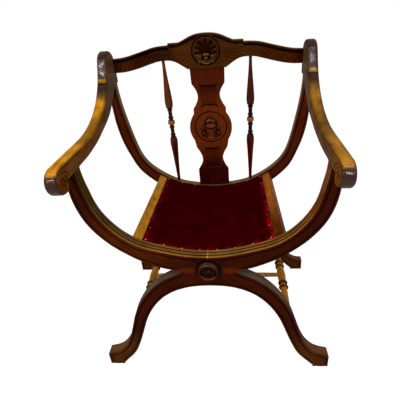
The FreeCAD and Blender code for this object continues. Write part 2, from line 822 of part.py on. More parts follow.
def make_splat():
    top = crest_base
    foot_z = curve_height(rear_hoop_curves[0], splat_foot_half_width) + glue_clearance
    waist_z = splat_height(splat_waist_share)
    lower_waist_z = splat_height(splat_lower_waist_share)
    corner = flat(splat_corner_half_width, splat_height(splat_corner_share))
    neck_top = flat(splat_neck_half_width, splat_height(splat_neck_top_share))
    neck_bottom = flat(splat_neck_half_width, splat_height(splat_neck_bottom_share))
    lower_neck_top = flat(splat_neck_half_width + panel_end_rise,
                          splat_height(splat_lower_neck_top_share))
    lower_neck_bottom = flat(splat_neck_half_width, splat_height(splat_lower_neck_bottom_share))
    lower_corner = flat(splat_neck_half_width, splat_height(splat_lower_corner_share))
    edges = [
        segment(flat(0, foot_z), flat(0, top)),
        segment(flat(0, top), flat(splat_top_half_width, top)),
        segment(flat(splat_top_half_width, top), corner),
        *arc_chain(smooth_curve([
            corner,
            flat((corner.x + splat_waist_half_width) / 2,
                 (2 * corner.z + waist_z) / 3),
            flat(splat_waist_half_width, waist_z),
            flat((neck_top.x + splat_waist_half_width) / 2,
                 (2 * neck_top.z + waist_z) / 3),
            neck_top]), splat_spans),
        segment(neck_top, neck_bottom),
        three_point_arc(neck_bottom, flat(medallion_half_width, medallion_height),
                        lower_neck_top),
        segment(lower_neck_top, lower_neck_bottom),
        *arc_chain(smooth_curve([
            lower_neck_bottom,
            flat((lower_neck_bottom.x + splat_waist_half_width) / 2,
                 (2 * lower_neck_bottom.z + lower_waist_z) / 3),
            flat(splat_waist_half_width, lower_waist_z),
            flat((lower_corner.x + splat_waist_half_width) / 2,
                 (2 * lower_corner.z + lower_waist_z) / 3),
            lower_corner]), splat_spans),
        segment(lower_corner, flat(splat_foot_half_width, foot_z)),
        segment(flat(splat_foot_half_width, foot_z), flat(0, foot_z)),
    ]
    half = prism(edges, V(0, splat_thickness, 0))
    body = half.fuse(mirrored(half)).removeSplitter()
    for low_share, high_share in (upper_panel_shares, lower_panel_shares):
        body = cut_panel(body, splat_height(low_share), splat_height(high_share))
    centre = V(0, -cut_overrun, medallion_height)
    depth = medallion_ring_depth + cut_overrun
    ring = cylinder(medallion_ring_radius, depth, centre, V(0, 1, 0))
    ring = ring.cut(cylinder(medallion_ring_radius - medallion_ring_width, depth, centre,
                             V(0, 1, 0)))
    body = body.cut(ring).fuse(make_urn())
    body.translate(V(0, rear_middle_y - splat_thickness / 2, 0))
    return body, foot_z


def cut_panel(body, bottom, top):
    left = -panel_half_width
    right = panel_half_width
    depth = panel_depth + cut_overrun
    edges = [
        segment(flat(left, bottom), flat(left, top)),
        three_point_arc(flat(left, top), flat(0, top - panel_end_rise), flat(right, top)),
        segment(flat(right, top), flat(right, bottom)),
        three_point_arc(flat(right, bottom), flat(0, bottom + panel_end_rise),
                        flat(left, bottom)),
    ]
    recess = prism(edges, V(0, depth, 0))
    recess.translate(V(0, -cut_overrun, 0))
    body = body.cut(recess)
    pitch = 2 * panel_half_width / (panel_line_count + 1)
    lines = []
    for i in range(panel_line_count):
        lines.append(Part.makeBox(
            panel_line_width, panel_line_depth + cut_overrun,
            top - bottom - 4 * panel_end_rise,
            V(left + pitch * (i + 1) - panel_line_width / 2,
              panel_depth - cut_overrun, bottom + 2 * panel_end_rise)))
    return body.cut(Part.makeCompound(lines))


def make_urn():
    """A low urn with a domed lid and two ring handles, standing on the medallion."""
    base = medallion_height - urn_drop - urn_height / 2
    stem_z = base + urn_height * urn_stem_share
    belly_z = base + urn_height * urn_belly_share
    handle_z = base + urn_height * urn_handle_share
    rim_z = base + urn_height * urn_rim_share
    edges = [segment(flat(-urn_foot_radius, base), flat(urn_foot_radius, base)),
             segment(flat(-urn_bowl_radius, rim_z), flat(urn_bowl_radius, rim_z))]
    for sign in (-1, 1):
        stem = flat(sign * urn_stem_radius, stem_z)
        edges.append(segment(flat(sign * urn_foot_radius, base), stem))
        edges.append(three_point_arc(stem, flat(sign * urn_belly_radius, belly_z),
                                     flat(sign * urn_bowl_radius, rim_z)))
    bowl = prism(edges, V(0, 2 * urn_relief, 0))
    bowl.translate(V(0, -urn_relief, 0))
    dome_radius = (urn_lid_radius ** 2 + urn_relief ** 2) / (2 * urn_relief)
    dome = Part.makeSphere(dome_radius, V(0, dome_radius - urn_relief, base + urn_height))
    slab = Part.makeBox(2 * urn_lid_radius, 2 * urn_relief, 2 * urn_lid_radius,
                        V(-urn_lid_radius, -urn_relief, base + urn_height - urn_lid_radius))
    pieces = [dome.common(slab)]
    for sign in (-1, 1):
        place = V(sign * (urn_bowl_radius + urn_handle_radius), 0, handle_z)
        pieces.append(Part.makeTorus(urn_handle_radius, urn_handle_wire, place, V(0, 1, 0)))
    return bowl.fuse(pieces)


splat, splat_foot_z = make_splat()


def tenon_block(bottom, height, grow):
    return Part.makeBox(
        2 * (splat_tenon_half_width + grow), splat_tenon_thickness + 2 * grow, height,
        V(-splat_tenon_half_width - grow, rear_middle_y - splat_tenon_thickness / 2 - grow,
          bottom))


lower_tenon_bottom = rear_crossing_top - splat_tenon_length
splat = splat.fuse([
    tenon_block(lower_tenon_bottom, splat_foot_z + cut_overrun - lower_tenon_bottom, 0),
    tenon_block(crest_base - splat_tenon_length, 2 * splat_tenon_length, 0),
]).removeSplitter()
lower_mortise = tenon_block(lower_tenon_bottom - glue_clearance,
                            splat_tenon_length + 2 * cut_overrun, glue_clearance)
upper_mortise = tenon_block(crest_base - cut_overrun,
                            splat_tenon_length + cut_overrun + glue_clearance, glue_clearance)
crest = crest.cut(upper_mortise)
rear_hoop = rear_hoop.cut(lower_mortise)


# Spindles, turned along their own axis and then leaned a little
spindle_top_half_spacing = crest_under_peak_half_width + spindle_top_outset
spindle_foot_half_spacing = spindle_top_half_spacing - spindle_lean
spindle_top = V(spindle_top_half_spacing, rear_middle_y,
                curve_height(under_outer, spindle_top_half_spacing))
spindle_foot = V(spindle_foot_half_spacing, rear_middle_y,
                 curve_height(rear_hoop_curves[0], spindle_foot_half_spacing))
spindle_axis = spindle_top - spindle_foot
spindle_length = spindle_axis.Length


def turned(edges):
    """A turned piece round the Z axis from its half outline."""
    wire = Part.Wire(Part.__sortEdges__(edges))
    return Part.Face(wire).revolve(V(0, 0, 0), V(0, 0, 1), 360)


def make_spindle():
    start = spindle_seat_gap
    end = spindle_length - spindle_seat_gap
    span = end - start

    def at(share, radius):
        return flat(radius, start + share * span)

    lower = [at(s, r * spindle_radius) for s, r in spindle_shares]
    upper = [at(s, r * spindle_radius) for s, r in spindle_upper_shares]
    edges = [segment(at(0, 0), lower[0])] + arc_chain(smooth_curve(lower), spindle_spans)
    last = lower[-1]
    features = [(s, spindle_bead_radius, spindle_bead_half_share) for s in spindle_bead_shares]
    features.append((spindle_ball_share, spindle_ball_radius, spindle_ball_half_share))
    for share, radius, half in sorted(features):
        middle = at(share, radius)
        below = at(share - half, spindle_neck_radius)
        above = at(share + half, spindle_neck_radius)
        edges.append(segment(last, below))
        edges.append(three_point_arc(below, middle, above))
        last = above
    edges.append(segment(last, upper[0]))
    edges += arc_chain(smooth_curve(upper), spindle_spans)
    edges.append(segment(upper[-1], at(1, 0)))
    edges.append(segment(at(1, 0), at(0, 0)))
    body = turned(edges)
    pin = cylinder(spindle_pin_radius, span + 2 * spindle_pin_length,
                   V(0, 0, start - spindle_pin_length), V(0, 0, 1))
    return body.fuse(pin)


def lay_along(shape, start, direction):
    placed = shape.copy()
    turn = FreeCAD.Rotation(V(0, 0, 1), direction)
    placed.Placement = FreeCAD.Placement(start, turn)
    return placed


spindle = lay_along(make_spindle(), spindle_foot, spindle_axis)
unit_axis = spindle_axis.normalize()
spindle_hole = cylinder(
    spindle_pin_radius + glue_clearance, spindle_length + 2 * spindle_pin_length + glue_clearance,
    spindle_foot - unit_axis * spindle_pin_length, unit_axis)
crest = crest.cut(spindle_hole).cut(mirrored(spindle_hole))
rear_hoop = rear_hoop.cut(spindle_hole)


# Seat rails: a bar with a ledge for the board, leaned like the hoops
def rail_section(y, corner):
    lean = math.radians(rail_tilt)
    inward = V(-math.cos(lean), 0, -math.sin(lean))
    down = V(math.sin(lean), 0, -math.cos(lean))
    outer = V(corner.x, y, corner.z)
    width = rail_visible_width + rail_ledge_width
    points = [
        outer,
        outer + inward * rail_visible_width,
        outer + inward * rail_visible_width + down * rail_ledge_depth,
        outer + inward * width + down * rail_ledge_depth,
        outer + inward * width + down * rail_thickness,
        outer + down * rail_thickness,
    ]
    return points, inward, down


def closed_wire(points):
    return Part.makePolygon(points + [points[0]])


rail_front_corner = flat(rail_half_spacing,
                         curve_height(front_hoop_curves[0], rail_half_spacing) - rail_drop)
rail_rear_corner = flat(rail_half_spacing,
                        curve_height(rear_hoop_curves[0], rail_half_spacing) - rail_drop)
front_section, inward, down = rail_section(front_frame_thickness, rail_front_corner)
rear_section, inward, down = rail_section(rear_y, rail_rear_corner)
rail = Part.makeLoft([closed_wire(front_section), closed_wire(rear_section)], True, True)


def rail_tenon(corner, y0, length, grow):
    centre = V(corner.x, y0, corner.z) \
        + inward * (rail_visible_width / 2) + down * (rail_thickness / 2)
    half_w = rail_tenon_width / 2 + grow
    half_t = rail_tenon_thickness / 2 + grow
    points = [
        centre + inward * half_w + down * half_t,
        centre - inward * half_w + down * half_t,
        centre - inward * half_w - down * half_t,
        centre + inward * half_w - down * half_t,
    ]
    return Part.Face(closed_wire(points)).extrude(V(0, length, 0))


rail = rail.fuse([
    rail_tenon(rail_front_corner, front_frame_thickness - rail_tenon_length,
               rail_tenon_length + cut_overrun, 0),
    rail_tenon(rail_rear_corner, rear_y - cut_overrun, rail_tenon_length + cut_overrun, 0),
])
front_hoop = front_hoop.cut(rail_tenon(
    rail_front_corner, front_frame_thickness - rail_tenon_length - glue_clearance,
    rail_tenon_length + glue_clearance + cut_overrun, glue_clearance))
rear_hoop = rear_hoop.cut(rail_tenon(
    rail_rear_corner, rear_y - cut_overrun,
    rail_tenon_length + glue_clearance + cut_overrun, glue_clearance))


# Seat board: a dished panel between the ledges
def board_edge(section):
    ledge = section[2]
    return ledge - down * (board_thickness + soft_clearance)


board_front_edge = board_edge(front_section)
board_rear_edge = board_edge(rear_section)
board_half_width = board_front_edge.x - soft_clearance


def dish_height(y, x):
    """Height of the board's top, a shallow trough that changes along the seat."""
    t = (y - front_frame_thickness) / (rear_y - front_frame_thickness)
    edge_z = board_front_edge.z + t * (board_rear_edge.z - board_front_edge.z)
    dish = board_front_dish + t * (board_rear_dish - board_front_dish)
    radius = (board_half_width ** 2 + dish ** 2) / (2 * dish)
    return edge_z - dish + radius - math.sqrt(radius ** 2 - x ** 2)


def board_section(y):
    points = [V(x, y, dish_height(y, x)) for x in (-board_half_width, 0, board_half_width)]
    drop = V(0, 0, -board_thickness)
    left, middle, right = points
    return Part.Wire([
        three_point_arc(left, middle, right),
        segment(right, right + drop),
        three_point_arc(right + drop, middle + drop, left + drop),
        segment(left + drop, left),
    ])


board_front_y = front_frame_thickness + soft_clearance
board_rear_y = rear_y - soft_clearance
board = Part.makeLoft([board_section(board_front_y), board_section(board_rear_y)], True, True)


# Velvet pad: thin at the edges, crowned in the middle
def pad_height(y, x, half_width):
    from_side = half_width - abs(x)
    from_end = min(y - pad_front_y, pad_rear_y - y)
    across = min(1.0, from_side / pad_rim_width)
    along = min(1.0, from_end / pad_end_width)
    rim = pad_edge_height + (pad_rim_height - pad_edge_height) \
        * math.sin(across * math.pi / 2) * math.sin(along * math.pi / 2)
    inner_x = max(0.0, 1 - (x / half_width) ** 2)
    middle_y = (pad_front_y + pad_rear_y) / 2
    inner_y = max(0.0, 1 - ((y - middle_y) / (middle_y - pad_front_y)) ** 2)
    return rim + (pad_crown_height - pad_rim_height) * math.sqrt(inner_x * inner_y)


pad_front_y = front_frame_thickness + 2 * soft_clearance
pad_rear_y = rear_y - 2 * soft_clearance
pad_half_width = board_half_width - soft_clearance


def pad_section(y):
    edge = pad_half_width
    top = []
    bottom = []
    for share in [-s for s in reversed(pad_side_shares)] + [0.0] + pad_side_shares:
        x = share * edge
        base_z = dish_height(y, x) + soft_clearance
        top.append(V(x, y, base_z + pad_height(y, x, edge)))
        bottom.insert(0, V(x, y, base_z))
    return Part.Wire([
        smooth_curve(top).toShape(),
        segment(top[-1], bottom[0]),
        smooth_curve(bottom).toShape(),
        segment(bottom[-1], top[0]),
    ])


def pad_loft():
    """Sections closer together towards the drawn-in ends."""
    middle = (pad_front_y + pad_rear_y) / 2
    reach = middle - pad_front_y
    sections = []
    for i in range(pad_station_count + 1):
        angle = math.pi * i / pad_station_count
        sections.append(pad_section(middle - reach * math.cos(angle)))
    return Part.makeLoft(sections, True, True)


pad = pad_loft()


# Tacks round the pad's edge
def tack_places():
    places = []
    reach = pad_half_width - tack_inset
    front = pad_front_y + tack_inset
    rear = pad_rear_y - tack_inset
    count = round(2 * reach / tack_front_pitch)
    for i in range(count + 1):
        x = -reach + 2 * reach * i / count
        places.append((x, front))
        places.append((x, rear))
    count = round((rear - front) / tack_side_pitch)
    for i in range(1, count):
        y = front + (rear - front) * i / count
        places.append((-reach, y))
        places.append((reach, y))
    return places


def tack(x, y, grow):
    seat_z = dish_height(y, x) + soft_clearance + pad_height(y, x, pad_half_width) - tack_head_height
    base = V(x, y, seat_z - grow)
    head = cylinder(tack_head_radius + grow, tack_head_height * 2, base, V(0, 0, 1))
    dome_radius = (tack_head_radius ** 2 + tack_head_height ** 2) / (2 * tack_head_height)
    dome = Part.makeSphere(dome_radius, V(x, y, seat_z + tack_head_height - dome_radius))
    shank = cylinder(tack_shank_radius + grow, tack_shank_length + grow,
                     V(x, y, seat_z - tack_shank_length - grow), V(0, 0, 1))
    if grow:
        return head.fuse(shank)
    return head.common(dome).fuse(shank)


places = tack_places()
tacks = Part.makeCompound([tack(x, y, 0) for x, y in places])
tack_holes = [tack(x, y, glue_clearance) for x, y in places]
pad = pad.cut(tack_holes)
board = board.cut(tack_holes)


# Side stretchers between the front and rear legs, and the cross stretcher
def make_side_stretcher():
    length = rear_y - front_frame_thickness
    middle = length / 2
    inner_ring = middle - stretcher_barrel_half_length - stretcher_ring_length
    outer_ring = inner_ring - stretcher_neck_length - stretcher_ring_length
    # One half of the outline, from the end to the barrel
    corners = [
        flat(0, 0), flat(stretcher_end_radius, 0), flat(stretcher_taper_radius, outer_ring),
        flat(stretcher_neck_radius, outer_ring),
        flat(stretcher_neck_radius, outer_ring + stretcher_ring_length),
        flat(stretcher_neck_radius, inner_ring),
        flat(stretcher_neck_radius, inner_ring + stretcher_ring_length),
        flat(stretcher_shoulder_radius, inner_ring + stretcher_ring_length),
    ]
    ring_starts = (3, 5)

    def mirror_end(point):
        return flat(point.x, length - point.z)

    edges = []
    for i in range(len(corners) - 1):
        start = corners[i]
        end = corners[i + 1]
        if i in ring_starts:
            top = flat(stretcher_ring_radius, (start.z + end.z) / 2)
            edges.append(three_point_arc(start, top, end))
            edges.append(three_point_arc(mirror_end(start), mirror_end(top), mirror_end(end)))
        else:
            edges.append(segment(start, end))
            edges.append(segment(mirror_end(start), mirror_end(end)))
    edges.append(three_point_arc(corners[-1], flat(stretcher_barrel_radius, middle),
                                 mirror_end(corners[-1])))
    edges.append(segment(flat(0, 0), flat(0, length)))
    body = turned(edges)
    pin = cylinder(stretcher_tenon_radius, length + 2 * stretcher_tenon_length,
                   V(0, 0, -stretcher_tenon_length), V(0, 0, 1))
    return body.fuse(pin)


def leg_middle(curves):
    """How far out the middle of a leg is at the height of the stretchers."""
    line = segment(flat(0, stretcher_height), flat(foot_half_width, stretcher_height))
    return sum(curve.toShape().distToShape(line)[1][0][0].x for curve in curves) / len(curves)


stretcher_half_spacing = stretcher_outset + (
    leg_middle(front_leg_curves) + leg_middle(rear_leg_curves)) / 2
stretcher_start = V(stretcher_half_spacing, front_frame_thickness, stretcher_height)
side_stretcher = lay_along(make_side_stretcher(), stretcher_start, V(0, 1, 0))
stretcher_hole = cylinder(
    stretcher_tenon_radius + glue_clearance,
    rear_y - front_frame_thickness + 2 * (stretcher_tenon_length + glue_clearance),
    stretcher_start - V(0, stretcher_tenon_length + glue_clearance, 0), V(0, 1, 0))
front_leg = front_leg.cut(stretcher_hole)
rear_leg = rear_leg.cut(stretcher_hole)

cross_y = (front_frame_thickness + rear_y) / 2
cross_end = stretcher_half_spacing - stretcher_barrel_radius + cross_seat_depth
cross_pin_end = cross_end + cross_stretcher_tenon_length


def make_cross_stretcher():
    edges = [
        segment(flat(0, -cross_end), flat(cross_stretcher_radius, -cross_end)),
        three_point_arc(flat(cross_stretcher_radius, -cross_end), flat(cross_stretcher_swell, 0),
                        flat(cross_stretcher_radius, cross_end)),
        segment(flat(cross_stretcher_radius, cross_end), flat(0, cross_end)),
        segment(flat(0, cross_end), flat(0, -cross_end)),
    ]
    pin = cylinder(cross_stretcher_tenon_radius, 2 * cross_pin_end, V(0, 0, -cross_pin_end),
                   V(0, 0, 1))
    return turned(edges).fuse(pin)


cross_stretcher = lay_along(make_cross_stretcher(), V(0, cross_y, stretcher_height), V(1, 0, 0))
cross_hole = cylinder(cross_stretcher_tenon_radius + glue_clearance,
                      cross_pin_end + glue_clearance, V(0, cross_y, stretcher_height), V(1, 0, 0))
cross_seat = cylinder(cross_stretcher_radius + glue_clearance, cross_end + glue_clearance,
                      V(0, cross_y, stretcher_height), V(1, 0, 0))
side_stretcher = side_stretcher.cut(cross_hole).cut(cross_seat)


# Rosette boss with a peg into the crossing
def make_boss():
    rim = boss_radius - boss_rim_width
    edges = [
        segment(flat(0, 0), flat(boss_radius, 0)),
        segment(flat(boss_radius, 0), flat(boss_radius, boss_thickness / 2)),
        three_point_arc(flat(boss_radius, boss_thickness / 2),
                        flat(boss_radius - boss_rim_width / 2, boss_thickness),
                        flat(rim, boss_thickness / 2)),
        segment(flat(rim, boss_thickness / 2), flat(rim, boss_thickness - boss_dish_depth)),
        segment(flat(rim, boss_thickness - boss_dish_depth),
                flat(0, boss_thickness - boss_dish_depth)),
        segment(flat(0, boss_thickness - boss_dish_depth), flat(0, 0)),
    ]
    body = turned(edges)
    floor = boss_thickness - boss_dish_depth
    pieces = [Part.makeSphere(boss_button_radius, V(0, 0, floor)),
              cylinder(boss_peg_radius, boss_peg_length + cut_overrun,
                       V(0, 0, -boss_peg_length), V(0, 0, 1))]
    for i in range(boss_petals):
        angle = 2 * math.pi * i / boss_petals
        out = V(math.cos(angle), math.sin(angle), 0)
        start = V(0, 0, floor - boss_petal_sink) + out * boss_petal_start_radius
        pieces.append(Part.makeCone(boss_petal_root_half_width, boss_petal_half_width,
                                    boss_petal_length, start, out))
    body = body.fuse(pieces)
    return lay_along(body, V(0, 0, boss_height), V(0, -1, 0))


boss = make_boss()
peg_hole = cylinder(boss_peg_radius + glue_clearance, boss_peg_length + glue_clearance + cut_overrun,
                    V(0, -cut_overrun, boss_height), V(0, 1, 0))
front_hoop = front_hoop.cut(peg_hole)
front_leg = front_leg.cut(peg_hole)


# Dowels. Each entry of a group is a base point and a direction.
def dowels(bases, direction, radius, length):
    return Part.makeCompound([cylinder(radius, length, base, direction) for base in bases])


def dowel_bores(bases, direction, radius, length):
    grown = radius + glue_clearance
    return Part.makeCompound([
        cylinder(grown, length + 2 * dowel_gap, base - direction * dowel_gap, direction)
        for base in bases])


def seam_bases(y, top, joint, arch):
    half = V(dowel_length / 2, 0, 0)
    upper = V(0, y, (lower_tenon_bottom + joint) / 2 if y > front_frame_thickness
              else (top + boss_height + boss_peg_radius) / 2)
    lower = V(0, y, (joint + arch) / 2)
    return [upper - half, lower - half]


def joint_bases(y, joint):
    half = V(0, 0, dowel_length / 2)
    return [V(sign * dowel_joint_half_spacing, y, joint) - half for sign in (-1, 1)]


along_x = V(1, 0, 0)
along_z = V(0, 0, 1)
front_seam = seam_bases(front_middle_y, front_crossing_top, front_crossing_joint,
                        front_crossing_arch)
rear_seam = seam_bases(rear_middle_y, rear_crossing_top, rear_crossing_joint,
                       rear_crossing_arch)
front_joint = joint_bases(front_middle_y, front_crossing_joint)
rear_joint = joint_bases(rear_middle_y, rear_crossing_joint)
arm_front_x = front_hoop_half_width - front_hoop_band / 2
arm_rear_x = rear_hoop_half_width - rear_hoop_band / 2
arm_front_bases = [V(sign * arm_front_x, front_middle_y, arm_underside - arm_dowel_length / 2)
                   for sign in (-1, 1)]
arm_rear_bases = [V(sign * arm_rear_x, rear_middle_y, rear_arm_joint - arm_dowel_length / 2)
                  for sign in (-1, 1)]
crest_joint_x = arm_centre_x(rear_middle_y) - arm_width / 2
crest_middle_z = (crest_base + crest_end_height) / 2
crest_bases = []
for sign in (-1, 1):
    for step in (-1, 1):
        centre = V(sign * crest_joint_x, rear_middle_y,
                   crest_middle_z + step * crest_dowel_spacing / 2)
        crest_bases.append(centre - V(crest_dowel_length / 2, 0, 0))

dowel_groups = {
    "front_seam_dowels": (front_seam, along_x, dowel_radius, dowel_length),
    "rear_seam_dowels": (rear_seam, along_x, dowel_radius, dowel_length),
    "front_joint_dowels": (front_joint, along_z, dowel_radius, dowel_length),
    "rear_joint_dowels": (rear_joint, along_z, dowel_radius, dowel_length),
    "arm_front_dowels": (arm_front_bases, along_z, dowel_radius, arm_dowel_length),
    "arm_rear_dowels": (arm_rear_bases, along_z, dowel_radius, arm_dowel_length),
    "crest_dowels": (crest_bases, along_x, crest_dowel_radius, crest_dowel_length),
}
bores = {name: dowel_bores(*group) for name, group in dowel_groups.items()}
front_hoop = front_hoop.cut(bores["front_seam_dowels"]).cut(bores["front_joint_dowels"])
front_hoop = front_hoop.cut(bores["arm_front_dowels"])
front_leg = front_leg.cut(bores["front_seam_dowels"]).cut(bores["front_joint_dowels"])
rear_hoop = rear_hoop.cut(bores["rear_seam_dowels"]).cut(bores["rear_joint_dowels"])
rear_hoop = rear_hoop.cut(bores["arm_rear_dowels"])
rear_leg = rear_leg.cut(bores["rear_seam_dowels"]).cut(bores["rear_joint_dowels"])
arm = arm.cut(bores["arm_front_dowels"]).cut(bores["arm_rear_dowels"])
arm = arm.cut(bores["crest_dowels"])
crest = crest.cut(bores["crest_dowels"])

# Every piece under its own name
shapes = {
    "front_boss": boss,
    "crest_rail": crest,
    "splat": splat,
    "cross_stretcher": cross_stretcher,
    "seat_board": board,
    "seat_pad": pad,
    "seat_tacks": tacks,
}
pairs = {
    "front_hoop": front_hoop,
    "rear_hoop": rear_hoop,
    "front_leg": front_leg,
    "rear_leg": rear_leg,
    "arm": arm,
    "spindle": spindle,
    "seat_rail": rail,
    "side_stretcher": side_stretcher,
}
for name, shape in pairs.items():
    for side_name, piece in both_sides(shape).items():
        shapes[name + "_" + side_name] = piece
for name, group in dowel_groups.items():
    shapes[name] = dowels(*group)

# The origin is on the floor, in the middle of the chair's footprint
boxes = [shape.optimalBoundingBox(False, False) for shape in shapes.values()]
front_limit = min(box.YMin for box in boxes)
rear_limit = max(box.YMax for box in boxes)
middle_y = (front_limit + rear_limit) / 2
for name, shape in shapes.items():
    placed = shape.copy()
    placed.translate(V(0, -middle_y, 0))
    placed.exportStep("parts/" + name + ".step")
    print(name, len(placed.Solids), placed.isValid(), round(placed.Volume))
print("front to back", rear_limit - front_limit, "middle", middle_y)
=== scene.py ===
# %% [markdown]
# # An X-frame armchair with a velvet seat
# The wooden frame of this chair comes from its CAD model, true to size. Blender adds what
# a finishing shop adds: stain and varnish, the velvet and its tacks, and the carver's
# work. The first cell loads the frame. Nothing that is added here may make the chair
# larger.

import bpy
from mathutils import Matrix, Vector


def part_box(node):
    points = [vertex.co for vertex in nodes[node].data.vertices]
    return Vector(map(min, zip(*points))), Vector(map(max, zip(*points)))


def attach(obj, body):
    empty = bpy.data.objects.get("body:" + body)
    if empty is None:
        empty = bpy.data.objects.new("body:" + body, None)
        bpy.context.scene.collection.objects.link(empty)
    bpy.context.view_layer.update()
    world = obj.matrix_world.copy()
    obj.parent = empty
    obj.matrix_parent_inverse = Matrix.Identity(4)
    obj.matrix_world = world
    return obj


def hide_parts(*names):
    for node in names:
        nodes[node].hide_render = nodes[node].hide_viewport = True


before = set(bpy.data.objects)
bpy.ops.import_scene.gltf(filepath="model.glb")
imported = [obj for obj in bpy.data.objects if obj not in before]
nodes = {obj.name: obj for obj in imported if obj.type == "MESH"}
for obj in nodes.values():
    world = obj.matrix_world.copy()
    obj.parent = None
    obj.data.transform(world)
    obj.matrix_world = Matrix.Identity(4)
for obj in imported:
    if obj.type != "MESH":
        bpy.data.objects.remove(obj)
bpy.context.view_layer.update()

# %% Modules and units
import math
from functools import reduce

import bmesh
import bpy
from mathutils import Matrix, Vector
from mathutils.bvhtree import BVHTree

mm = 0.001
degree = math.pi / 180

# %% [markdown]
# ## Where things are
# Most places are read from the frame, so that the dressing follows the wood; the
# thicknesses of crest rail and splat and the heights of shell and urn are given. The levels
# that matter are the front faces of the two X frames, of the crest rail and of the
# splat. They all look towards the viewer, along minus Y.

# %% Levels and centres
front_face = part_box("front_leg_left")[0].y
front_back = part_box("front_leg_left")[1].y
rear_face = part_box("rear_leg_left")[0].y
rear_middle = (rear_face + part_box("rear_leg_left")[1].y) / 2
crest_thickness = 22 * mm
crest_face = rear_middle - crest_thickness / 2
splat_thickness = 12 * mm
splat_face = rear_middle - splat_thickness / 2
seat_low, seat_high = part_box("seat_pad")
boss_low, boss_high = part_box("front_boss")
boss_centre = Vector((0, front_face, (boss_low.z + boss_high.z) / 2))
shell_height, urn_height = 883 * mm, 636 * mm
shell_centre = Vector((0, crest_face, shell_height))
urn_centre = Vector((0, splat_face, urn_height))
print("front face", round(front_face, 4), "rear face", round(rear_face, 4),
      "boss height", round(boss_centre.z, 4))

# %% [markdown]
# ## The viewpoint
# A camera is a lens, a place and three turns. The lens is given by its focal length in
# picture pixels, as a surveyor would measure it, and the lens axis meets the picture a
# little off its middle, which Blender calls shift.

# %% Camera
picture = 400
focal_pixels = 311.9
axis_pixel_x, axis_pixel_y = 212.3, 154.5
camera_place = Vector((79 * mm, front_face - 597 * mm, 995 * mm))
look_down, look_left, lean_right = 24.89 * degree, 4.63 * degree, 3.92 * degree
film_width = 36

bpy.ops.object.select_all(action="DESELECT")
bpy.ops.object.camera_add(location=camera_place)
camera = bpy.context.object
camera.name = "Viewpoint"
camera.data.sensor_width = film_width
camera.data.lens = focal_pixels * film_width / picture
camera.data.shift_x = (picture / 2 - axis_pixel_x) / picture
camera.data.shift_y = (axis_pixel_y - picture / 2) / picture
turns = (Matrix.Rotation(look_left, 4, "Z") @ Matrix.Rotation(math.pi / 2 - look_down, 4, "X")
         @ Matrix.Rotation(-lean_right, 4, "Z"))
camera.matrix_world = Matrix.Translation(camera_place) @ turns
bpy.context.scene.camera = camera
print("lens", round(camera.data.lens, 2), "mm, shift", round(camera.data.shift_x, 4),
      round(camera.data.shift_y, 4))

# %% [markdown]
# ## Shaders written as sums
# A shader is a graph of nodes. It is easier to read as sums, so a small class stands for
# one output socket: adding or comparing two of them adds the Math nodes that do it.
# Numbers alone are still worked out in Python.


# %% A socket that can be reckoned with
def sum_of(operation):
    """A method that works on a socket alone, or on a socket and another value."""
    return lambda *values: values[0].reckon(operation, *values)


class Wire:
    """One output socket of a shader. Sums on it add Math nodes."""

    def __init__(self, finish, socket):
        self.finish = finish
        self.socket = socket

    def reckon(self, operation, *values):
        return self.finish.wire("ShaderNodeMath", {"operation": operation},
                                dict(enumerate(values)))

    __add__ = __radd__ = sum_of("ADD")
    __sub__ = sum_of("SUBTRACT")
    __mul__ = __rmul__ = sum_of("MULTIPLY")
    __truediv__ = sum_of("DIVIDE")
    __pow__ = sum_of("POWER")
    __abs__ = sum_of("ABSOLUTE")
    most = sum_of("MAXIMUM")
    least = sum_of("MINIMUM")
    sign = sum_of("SIGN")
    wave = sum_of("SINE")

    def __rsub__(self, other):
        return self.reckon("SUBTRACT", other, self)

    def __neg__(self):
        return self * -1.0

    def step(self, low, high):
        """0 below low, 1 above high, a smooth rise between them."""
        return self.finish.wire("ShaderNodeMapRange", {"interpolation_type": "SMOOTHSTEP"},
                                {"Value": self, "From Min": low, "From Max": high})

    def fall(self, low, high):
        """1 below low, 0 above high."""
        return 1 - self.step(low, high)

    def band(self, middle, half, soft):
        """1 within half of the middle, 0 beyond it by soft."""
        return abs(self - middle).fall(half, half + soft)


